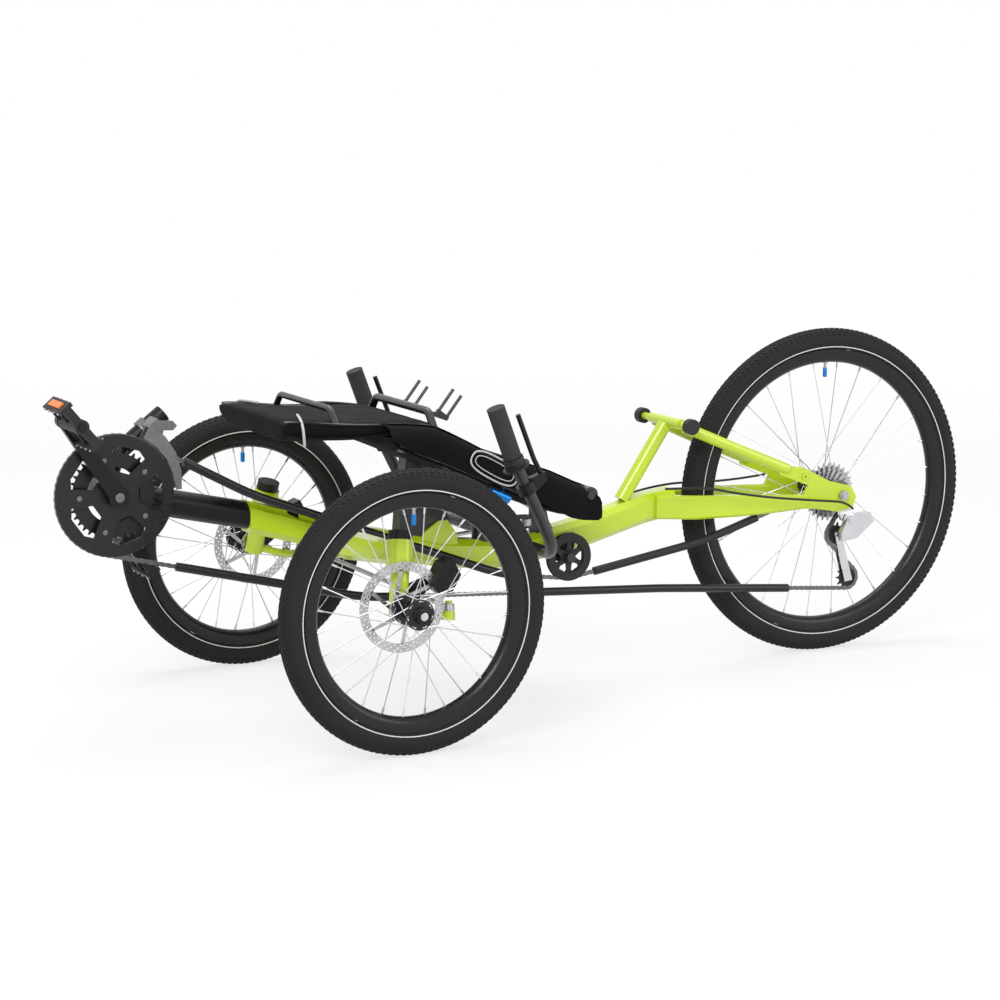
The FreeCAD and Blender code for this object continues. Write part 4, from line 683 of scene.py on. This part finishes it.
class TRIKE_OT_rotors(Operator):
    """Brake rotors with an open-worked band, six swept arms and hub bolts"""
    bl_idname = "trike.rotors"
    bl_label = "Brake rotors"

    def execute(self, context):
        for side in ("left", "right"):
            centre, _ = WHEELS[side]
            outward = OUTWARD[side]
            low, high = corners("rotor_" + side)
            rim = (high.z - low.z) / 2
            plane = low.y if outward > 0 else high.y
            carrier = turned("carrier", CARRIER, 36)
            feet = [radial(2 * pi * k / ROTOR_ARMS) * BOLT_CIRCLE for k in range(ROTOR_ARMS)]
            bolts = repeated(cylinder("bolt", *ROTOR_BOLT), [along(foot, foot - LEFT) for foot in feet],
                             "bolts")
            rotor = joined([self.band(rim), self.arms(rim), carrier, bolts], "drilled_rotor_" + side)
            place = Matrix.Translation((centre.x, plane, centre.z)) @ Matrix.Diagonal((1, outward, 1, 1))
            outwards(placed(rotor, place))
            finished(smoothed(rotor, 40), "wheel_" + side, "steel", "rotor", "rotor_" + side)
        return {"FINISHED"}

    def band(self, rim):
        """Braking band with three staggered rings of openings."""
        band = turned("band", [(rim - depth, 0) for depth in BAND_EDGES], BAND_STEPS, closed=False)

        def opened(face):
            depth = rim - hypot(face.center.x, face.center.z)
            ring = sum(depth < edge for edge in BAND_EDGES) - 1
            turn = atan2(face.center.z, face.center.x) / (2 * pi)
            step = int(turn * BAND_STEPS + BAND_STEPS)
            return ring in BAND_OPENINGS and (step + BAND_OPENINGS[ring]) % OPENING_PITCH == 0

        pick(band, "FACE", opened)
        with editing("FACE"):
            bpy.ops.mesh.delete(type="FACE")
        solid = band.modifiers.new("thick", "SOLIDIFY")
        solid.thickness = ROTOR_THICK
        solid.offset = 0
        bpy.ops.object.modifier_apply(modifier="thick")
        placed(band, Matrix.Translation(LEFT * ROTOR_THICK / 2))
        if len(band.data.polygons) <= len(BAND_EDGES) * BAND_STEPS:
            raise RuntimeError("the rotor's band was not made")
        return band

    def arms(self, rim):
        """Flat arms from the carrier to the band, swept round by an angle."""
        places = []
        for k in range(ROTOR_ARMS):
            angle = 2 * pi * k / ROTOR_ARMS
            start = radial(angle) * ARM_FOOT
            run = radial(angle + ARM_SWEEP) * (rim - 0.014) - start
            side = LEFT.cross(run.normalized()) * ARM_WIDTH
            places.append(axes(side, LEFT * ROTOR_THICK, run, start + LEFT * ROTOR_THICK / 2))
        return repeated(cube(UP / 2), places, "arms")


# ---------------- seat
class TrikeSeatSettings(PropertyGroup):
    seam_depth: length("Seam depth", "How far the sewn seams pull the pads in", 0.0022)
    fold_height: length("Fold height", "Height of the cloth's soft folds", 0.0045)
    piping: length("Piping", "Radius of the cord sewn into the pads' edges", 0.0024)


# pad sections in mm: x from the front axle, height of the middle, rise of the top, drop below
BACK_PAD = [(141, 549, 5, 22), (128, 547, 11, 30), (90, 543, 13, 30), (40, 537, 13, 26),
            (-10, 533, 13, 21), (-72, 530, 14, 13), (-145, 523, 15, 15), (-205, 495, 17, 15),
            (-262, 464, 17, 13), (-310, 449, 15, 12), (-360, 434, 14, 13), (-410, 411, 13, 12),
            (-440, 399, 9, 9)]
BASE_PAD = [(-50, 519, 3, 12), (-72, 511, 5, 17), (-110, 496, 13, 20), (-165, 474, 17, 21),
            (-210, 455, 15, 22), (-250, 436, 13, 21), (-330, 400, 22, 20), (-400, 372, 22, 18),
            (-440, 363, 20, 17), (-474, 359, 14, 14)]
# covers: name, sections, half width in mm, seams as shares of it, body, the node it stands for
COVERS = [("base", BASE_PAD, 185.0, (0.42, 0.86), "frame", "seat_base_sling"),
          ("back", BACK_PAD, 156.5, (0.40, 0.84), "seat_back", "seat_back_sling")]
PAD_AROUND = 96
PAD_ALONG = 84
END_ROUND = 24.0  # mm along the seat over which a pad's ends are rounded
END_NARROW = 16  # mm that each side draws in at the ends
SIDE_POWER = 6  # how squarely its sides are rounded
SEAM_WIDTH = 0.022  # as a share of the half width
FOLD_SIZE = 0.075
# piping: half width of each pad at it, height as a share of the rise or drop, shares along, points
PIPING_HALF = {"base": 181.0, "back": 153.0}
PIPING_LEVEL = 0.62
PIPING_START, PIPING_RUN = 0.06, 0.88
PIPING_POINTS = 31
# side panels, as a section: mm out from the middle, height in mm, share of the hang
FLAP = [(146, 12, 0), (168, 13, 0), (184, 8, 0), (193, -6, 0), (195, 0, 0.55), (195.4, 0, 1),
        (192.4, 0, 1), (192, 0, 0.55), (190.5, -6, 0), (181, 4, 0), (166, 8, 0), (146, 7, 0)]
SKIRT = [(186.2, 0, -1), (188.8, -2, -1), (189.6, 0, 0), (188.6, -9, 0.2), (182, -13, 0.2),
         (183, 0, -0.9)]
# and as rows along the seat, in mm: x from the front axle, height of the seat's middle, hang
FLAP_ROWS = [(-50, 531, 10), (-58, 531, 17), (-80, 530, 29), (-110, 527, 40), (-145, 522, 48),
             (-205, 494, 47), (-250, 470, 43), (-290, 455, 41), (-330, 444, 50), (-380, 426, 58),
             (-430, 403, 54), (-446, 397, 46)]
SKIRT_ROWS = [(-408, 370, 12), (-420, 368, 28), (-440, 364, 34), (-464, 361, 33), (-476, 359, 26),
              (-480, 359, 16)]
# blank oval on each flap: its middle (x, out, z), lean in degrees; rims: half length, half height, radius
OVAL_PLACE = (-252, 196.4, 455)
OVAL_LEAN = 29
OVAL_RIMS = [(52, 20, 1.7), (43, 12, 1.0)]
OVAL_POINTS = 28
STRAP = [(88, 92, 559), (100, 128, 560), (106, 152, 556), (106, 159.5, 545), (104, 160, 524),
         (100, 152, 512)]
STRAP_RADIUS = 0.0026


def section_at(rows, share):
    """Row part way along a table, rounded through its rows."""
    place = min(max(share, 0.0), 0.99999) * (len(rows) - 1)
    k = int(place)
    t = place - k
    around = [rows[min(max(i, 0), len(rows) - 1)] for i in (k - 1, k, k + 1, k + 2)]
    return [0.5 * (2 * b + (c - a) * t + (2 * a - 5 * b + 4 * c - d) * t ** 2
                   + (3 * b - a - 3 * c + d) * t ** 3)
            for a, b, c, d in zip(*around)]


class TRIKE_OT_covers(Operator):
    """Padded covers of the seat's base and back, with sewn seams and soft folds"""
    bl_idname = "trike.covers"
    bl_label = "Seat covers"

    def execute(self, context):
        sizes = context.scene.trike_seat
        for name, rows, half, seams, body, node in COVERS:
            cover = self.cover("seat_%s_cover" % name, rows, half, seams, sizes)
            finished(cover, body, "mesh", "fabric", node)
        return {"FINISHED"}

    def cover(self, name, rows, half, seams, sizes):
        """Closed pad through the sections, with rounded sides and ends."""
        deselect()
        bpy.ops.mesh.primitive_cylinder_add(vertices=PAD_AROUND, radius=1, depth=1,
                                            rotation=(0, pi / 2, 0))
        piece = settled(started(name))
        points = piece.data.vertices
        pick(piece, "EDGE", lambda edge: abs(points[edge.vertices[0]].co.x
                                             - points[edge.vertices[1]].co.x) > 0.5)
        with editing("EDGE"):
            bpy.ops.mesh.subdivide(number_cuts=PAD_ALONG)
        for point in piece.data.vertices:
            point.co = self.shaped(point.co, rows, half, seams, sizes.seam_depth / MM)
        folds = bpy.data.textures.new(name, "CLOUDS")
        folds.noise_scale = FOLD_SIZE
        folds.noise_depth = 2
        soft = piece.modifiers.new("folds", "DISPLACE")
        soft.texture = folds
        soft.texture_coords = "GLOBAL"
        soft.strength = sizes.fold_height
        select_only(piece)
        bpy.ops.object.modifier_apply(modifier="folds")
        return smoothed(outwards(piece), 70)

    def shaped(self, point, rows, half, seams, seam_depth):
        """Carries a point of the unit cylinder along X to its place on the pad."""
        share = 0.5 - point.x
        x, middle, rise, drop = section_at(rows, share)
        turn = atan2(point.z, point.y)
        across = 1 - 2 * abs(turn) / pi
        # the points lie closer together towards the sides
        across = 1.3 * across - 0.3 * across ** 3
        from_end = min(share, 1 - share) * abs(rows[0][0] - rows[-1][0])
        ended = sqrt(max(0.02, 1 - max(0.0, 1 - from_end / END_ROUND) ** 2))
        edge = sqrt(max(0.0, 1 - abs(across) ** SIDE_POWER)) * ended
        height = rise * edge if turn > 0 else -drop * edge
        for seam in seams:
            pull = exp(-((abs(across) - seam) / SEAM_WIDTH) ** 2)
            height -= copysign(seam_depth * pull * edge, turn)
        return from_axle(x, across * (half - END_NARROW * (1 - ended)), middle + height)


class TRIKE_OT_seat_trim(Operator):
    """Side flaps and skirts, piping, the rims of blank ovals, and straps"""
    bl_idname = "trike.seat_trim"
    bl_label = "Seat flaps, piping and straps"

    def execute(self, context):
        sizes = context.scene.trike_seat
        for name, body, section, rows in [("flaps", "seat_back", FLAP, FLAP_ROWS),
                                          ("skirts", "frame", SKIRT, SKIRT_ROWS)]:
            panels = joined([self.panel(sign, section, rows) for sign in (1, -1)], "seat_side_" + name)
            finished(smoothed(panels, 70), body, "mesh", "fabric")
        for name, rows, _, _, body, _ in COVERS:
            cords = [strand("cord", self.pad_edge(rows, sign * PIPING_HALF[name], level), sizes.piping)
                     for level in (PIPING_LEVEL, -PIPING_LEVEL) for sign in (1, -1)]
            finished(joined(cords, "seat_%s_piping" % name), body, "mesh", "piping")
        rims = [self.oval_rim(sign, *rim) for sign in (1, -1) for rim in OVAL_RIMS]
        finished(joined(rims, "side_patch_rims"), "seat_back", "mesh", "silver_trim")
        straps = [strand("strap", [from_axle(x, sign * y, z) for x, y, z in STRAP], STRAP_RADIUS)
                  for sign in (1, -1)]
        finished(joined(straps, "seat_straps"), "seat_back", "mesh", "silver_trim")
        return {"FINISHED"}

    def panel(self, sign, section, rows):
        """Side panel drawn along the seat's edge, with a folded hem."""
        deselect()
        bpy.ops.mesh.primitive_circle_add(vertices=len(section), radius=1, fill_type="NGON")
        panel = started("panel")
        for k, (x, z, hang) in enumerate(rows):
            if k:
                # in edge mode the new ring's first two points change places, which folds the hem over
                with editing("EDGE"):
                    bpy.ops.mesh.extrude_region_move(TRANSFORM_OT_translate={"value": (-0.02, 0, 0)})
            ring = [point for point in panel.data.vertices if k == 0 or point.select]
            for point, (out, height, share) in zip(ring, section):
                point.co = from_axle(x, sign * out, z + height - hang * share)
        return settled(outwards(panel))

    def pad_edge(self, rows, out, level):
        """Points along one side of a pad, level being the share of its rise or drop."""
        points = []
        for k in range(PIPING_POINTS):
            x, middle, rise, drop = section_at(rows, PIPING_START + PIPING_RUN * k / (PIPING_POINTS - 1))
            points.append(from_axle(x, out, middle + level * (rise if level > 0 else drop)))
        return points

    def oval_rim(self, sign, half_length, half_height, radius):
        """Piped rim of a blank rounded oval on a flap."""
        middle_x, out, middle_z = OVAL_PLACE
        lean = radians(OVAL_LEAN)

        def squared(value):
            return copysign(abs(value) ** 0.7, value)

        points = []
        for k in range(OVAL_POINTS):
            angle = 2 * pi * k / OVAL_POINTS
            run = half_length * squared(cos(angle))
            rise = half_height * squared(sin(angle))
            points.append(from_axle(middle_x + run * cos(lean) - rise * sin(lean), sign * out,
                                    middle_z + run * sin(lean) + rise * cos(lean)))
        return strand("rim", points, radius * MM, closed=True)


# ---------------- bolts, pedals and cables
class TrikeDetailSettings(PropertyGroup):
    bolt: length("Ring bolt", "Radius of the chainring bolts' heads", 0.0048)
    pin: length("Pedal pin", "Radius of the grip pins on the pedals", 0.0016)
    cable: length("Cable", "Radius of the gear cables' housings", 0.0024)


# turned parts: radius, length, sides, bevel
HUB_CAP = (0.0131, 0.0074, 24, 0.0012)
HUB_BOLT = (0.0072, 0.0082, 20, 0.0008)
CRANK_BOLT = (0.0085, 0.0032, 20, 0.0008)
BOLT_SOCKET = (0.0045, 0.0036, 6)
CAP_SUNK = 0.0072  # how far the hub's cap starts inside the axle's end
RING_BOLTS = 5
RING_BOLT_CIRCLE = 0.066
PEDAL_TILT = radians(50)
# pedals: pins along and through the cage, and across it; reflectors at its ends, with their size
PIN_ALONG, PIN_THROUGH = 0.0425, 0.0125
PIN_PLACES = (-0.034, -0.012, 0.012, 0.034)
REFLECTOR_ALONG = 0.0464
REFLECTOR_SIZE = (0.0044, 0.056, 0.0125, 1)
# housings held along the frame, mm from the front axle
CABLES = [[(-690, 62, 366), (-735, 84, 368), (-773, 88, 366), (-827, 92, 353), (-900, 95, 340),
           (-966, 95, 331), (-1040, 95, 322), (-1090, 92, 316), (-1112, 84, 300)],
          [(-660, -34, 342), (-690, -54, 344), (-746, -66, 349), (-802, -74, 351), (-869, -80, 346),
           (-960, -84, 347), (-1010, -82, 352)]]


class TRIKE_OT_bolts(Operator):
    """Caps and bolts of the front hubs, the cranks and the chainrings"""
    bl_idname = "trike.bolts"
    bl_label = "Caps and bolts"

    def execute(self, context):
        low, high = corners("ring_guard")
        centre = (low + high) / 2
        # both cranks' faces are this far out, and the left one carries the spindle to the right face
        crank_face = -corners("crank_left")[0].y
        for side, sign in (("left", 1), ("right", -1)):
            self.hub_end(side, sign)
            foot = Vector((centre.x, sign * (crank_face - 0.001), centre.z))
            parts = [cylinder("bolt", *CRANK_BOLT), cylinder("socket", *BOLT_SOCKET)]
            bolt = placed(joined(parts, "crank_bolt_" + side), along(foot, foot + LEFT * sign))
            finished(smoothed(bolt), "crankset", "steel", "cage")
        places = []
        for k in range(RING_BOLTS):
            foot = centre + radial(2 * pi * k / RING_BOLTS) * RING_BOLT_CIRCLE
            foot.y = high.y - 0.0005
            places.append(along(foot, foot + LEFT))
        pattern = cylinder("bolt", context.scene.trike_details.bolt, 0.0022, 16, 0.0006)
        bolts = repeated(pattern, places, "ring_bolts")
        finished(smoothed(bolts), "crankset", "steel", "cage")
        return {"FINISHED"}

    def hub_end(self, side, sign):
        """Cap and bolt on the end of a front axle."""
        centre, _ = WHEELS[side]
        low, high = corners("knuckle_" + side)
        end = high.y if sign > 0 else low.y
        foot = Vector((centre.x, end - sign * CAP_SUNK, centre.z))
        for name, shape, slot, finish in [("hub_cap_", HUB_CAP, "black_alloy", "black_alloy"),
                                          ("hub_bolt_", HUB_BOLT, "bright_alloy", "bright")]:
            piece = placed(cylinder(name + side, *shape), along(foot, foot + LEFT * sign))
            finished(smoothed(piece), "knuckle_" + side, slot, finish)


class TRIKE_OT_pedals(Operator):
    """Reflectors in the ends of the pedals' cages and short pins on their bars"""
    bl_idname = "trike.pedals"
    bl_label = "Pedal pins and reflectors"

    def execute(self, context):
        reach = Vector((cos(PEDAL_TILT), 0, sin(PEDAL_TILT)))
        face = Vector((-sin(PEDAL_TILT), 0, cos(PEDAL_TILT)))
        for body in ("pedal_left", "pedal_right"):
            low, high = corners(body)
            middle = (low + high) / 2
            pins, reflectors = [], []
            for end in (1, -1):
                for over in (1, -1):
                    bar = middle + reach * end * PIN_ALONG + face * over * PIN_THROUGH
                    pins += [along(bar + LEFT * y, bar + LEFT * y + face * over) for y in PIN_PLACES]
                place = axes(reach, LEFT, face, middle + reach * end * REFLECTOR_ALONG)
                reflectors.append(place @ Matrix.Diagonal(REFLECTOR_SIZE))
            pattern = cylinder("pin", context.scene.trike_details.pin, 0.0036, 8)
            pins = repeated(pattern, pins, body + "_pins")
            finished(smoothed(pins), body, "steel", "steel")
            lenses = repeated(cube(), reflectors, body + "_reflectors")
            finished(lenses, body, "black_plastic", "amber")
        return {"FINISHED"}


class TRIKE_OT_cables(Operator):
    """Gear cables in their housings, held along the frame"""
    bl_idname = "trike.cables"
    bl_label = "Held cables"

    def execute(self, context):
        radius = context.scene.trike_details.cable
        cables = [strand("cable", [from_axle(*point) for point in points], radius) for points in CABLES]
        finished(joined(cables, "gear_cables"), "frame", "black_plastic", "tube_plastic")
        return {"FINISHED"}


# ---------------- stage
# the floor shows this share of white near the trike, and all white past the far distance
FLOOR_WHITE = 0.72
FLOOR_NEAR, FLOOR_FAR = 1.2, 5.0
# lamps: name, place, aim, width, power
LAMPS = [("key_light", (3.2, 3.4, 3.6), (0.1, 0, 0.3), 2.4, 150.0),
         ("fill_light", (-3.6, 3.6, 2.4), (-0.3, 0, 0.3), 3.0, 75.0),
         ("top_light", (0.0, -1.2, 4.0), (0.0, 0, 0.3), 3.0, 85.0)]


def view_matrix(stage):
    """Camera's place and turn from its azimuth, elevation, roll and distance."""
    az, el, roll = stage.azimuth, stage.elevation, stage.roll
    back = Vector((sin(az) * cos(el), -cos(az) * cos(el), sin(el)))
    right = (-back).cross(UP).normalized()
    up = right.cross(-back)
    rolled_right = right * cos(roll) + up * sin(roll)
    rolled_up = up * cos(roll) - right * sin(roll)
    return axes(rolled_right, rolled_up, back, Vector(stage.target) + back * stage.distance)


def whitened(tree, output, shader, share):
    """Shows a share of white to the camera, to reflections and through glass."""
    rays = add_node(tree, "ShaderNodeLightPath")
    seen = add_node(tree, "ShaderNodeMath", {0: rays["Is Camera Ray"], 1: rays["Is Glossy Ray"]},
                    operation="MAXIMUM")
    seen = add_node(tree, "ShaderNodeMath", {0: seen[0], 1: rays["Is Transmission Ray"]},
                    operation="MAXIMUM")
    seen = add_node(tree, "ShaderNodeMath", {0: seen[0], 1: share}, operation="MULTIPLY")
    kind = "ShaderNodeEmission" if output.type == "OUTPUT_MATERIAL" else "ShaderNodeBackground"
    white = add_node(tree, kind, {"Color": (1, 1, 1, 1), "Strength": 1.0})
    mix = add_node(tree, "ShaderNodeMixShader", {"Fac": seen[0], 1: shader.outputs[0], 2: white[0]})
    tree.links.new(mix[0], output.inputs["Surface"])


class TRIKE_OT_stage(Operator):
    """Sets the camera, the soft lights and the pale floor"""
    bl_idname = "trike.stage"
    bl_label = "Stage"

    def execute(self, context):
        scene = context.scene
        scene.view_settings.view_transform = "Standard"
        camera = bpy.data.cameras.new("studio_camera")
        camera.sensor_width = 36.0
        camera.lens = scene.trike_stage.lens
        scene.camera = self.stood(camera)
        scene.camera.matrix_world = view_matrix(scene.trike_stage)
        self.floor()
        self.world(scene)
        for name, place, aim, width, power in LAMPS:
            lamp = bpy.data.lights.new(name, "AREA")
            lamp.size = width
            lamp.energy = power
            stand = self.stood(lamp)
            stand.location = place
            stand.rotation_euler = (Vector(place) - Vector(aim)).to_track_quat("Z", "Y").to_euler()
        return {"FINISHED"}

    def stood(self, data):
        """An object that holds the camera or lamp, under the same name."""
        holder = bpy.data.objects.new(data.name, data)
        bpy.context.scene.collection.objects.link(holder)
        return holder

    def floor(self):
        """Pale floor that turns fully white with the distance from the trike."""
        deselect()
        bpy.ops.mesh.primitive_plane_add(size=80, location=(0, 0, 0))
        floor = started("pale_floor")
        pale = Surface("pale_floor", (0.86, 0.86, 0.86), 0.9, specular=0.0)
        reach = pale.node("ShaderNodeVectorMath", {0: pale.coordinates}, operation="LENGTH")
        share = pale.ranged(reach["Value"], FLOOR_NEAR, FLOOR_FAR, FLOOR_WHITE, 1.0,
                            interpolation_type="SMOOTHSTEP")
        whitened(pale.tree, pale.tree.nodes["Material Output"], pale.shader, share)
        floor.data.materials.append(pale.material)

    def world(self, scene):
        """Even white surroundings."""
        world = bpy.data.worlds.new("studio")
        scene.world = world
        world.use_nodes = True
        sky = world.node_tree.nodes["Background"]
        sky.inputs["Color"].default_value = (1, 1, 1, 1)
        sky.inputs["Strength"].default_value = 0.55
        whitened(world.node_tree, world.node_tree.nodes["World Output"], sky, 1.0)


# ---------------- panel and registration
class TRIKE_PT_dresser(Panel):
    """Lists the trike's pieces and the sizes and colours they use"""
    bl_idname = "TRIKE_PT_dresser"
    bl_label = "Recumbent trike"
    bl_space_type = "VIEW_3D"
    bl_region_type = "UI"
    bl_category = "Trike"

    def draw(self, context):
        scene = context.scene
        for group in SETTINGS:
            settings = getattr(scene, group)
            box = self.layout.box()
            for key in settings.__annotations__:
                box.prop(settings, key)
        for operator in OPERATORS:
            self.layout.operator(operator.bl_idname)


OPERATORS = [TRIKE_OT_stage, TRIKE_OT_finishes, TRIKE_OT_tyres, TRIKE_OT_wheels, TRIKE_OT_rotors,
             TRIKE_OT_covers, TRIKE_OT_seat_trim, TRIKE_OT_bolts, TRIKE_OT_pedals, TRIKE_OT_cables]
SETTINGS = {"trike_finish": TrikeFinishSettings, "trike_wheels": TrikeWheelSettings,
            "trike_seat": TrikeSeatSettings, "trike_details": TrikeDetailSettings,
            "trike_stage": TrikeStageSettings}


def register():
    for kind in list(SETTINGS.values()) + OPERATORS + [TRIKE_PT_dresser]:
        bpy.utils.register_class(kind)
    for name, kind in SETTINGS.items():
        setattr(bpy.types.Scene, name, PointerProperty(type=kind))


def unregister():
    for name in SETTINGS:
        delattr(bpy.types.Scene, name)
    for kind in [TRIKE_PT_dresser] + OPERATORS[::-1] + list(SETTINGS.values()):
        bpy.utils.unregister_class(kind)


def main():
    register()
    for operator in OPERATORS:
        group, name = operator.bl_idname.split(".")
        getattr(getattr(bpy.ops, group), name)()


if __name__ == "__main__":
    main()
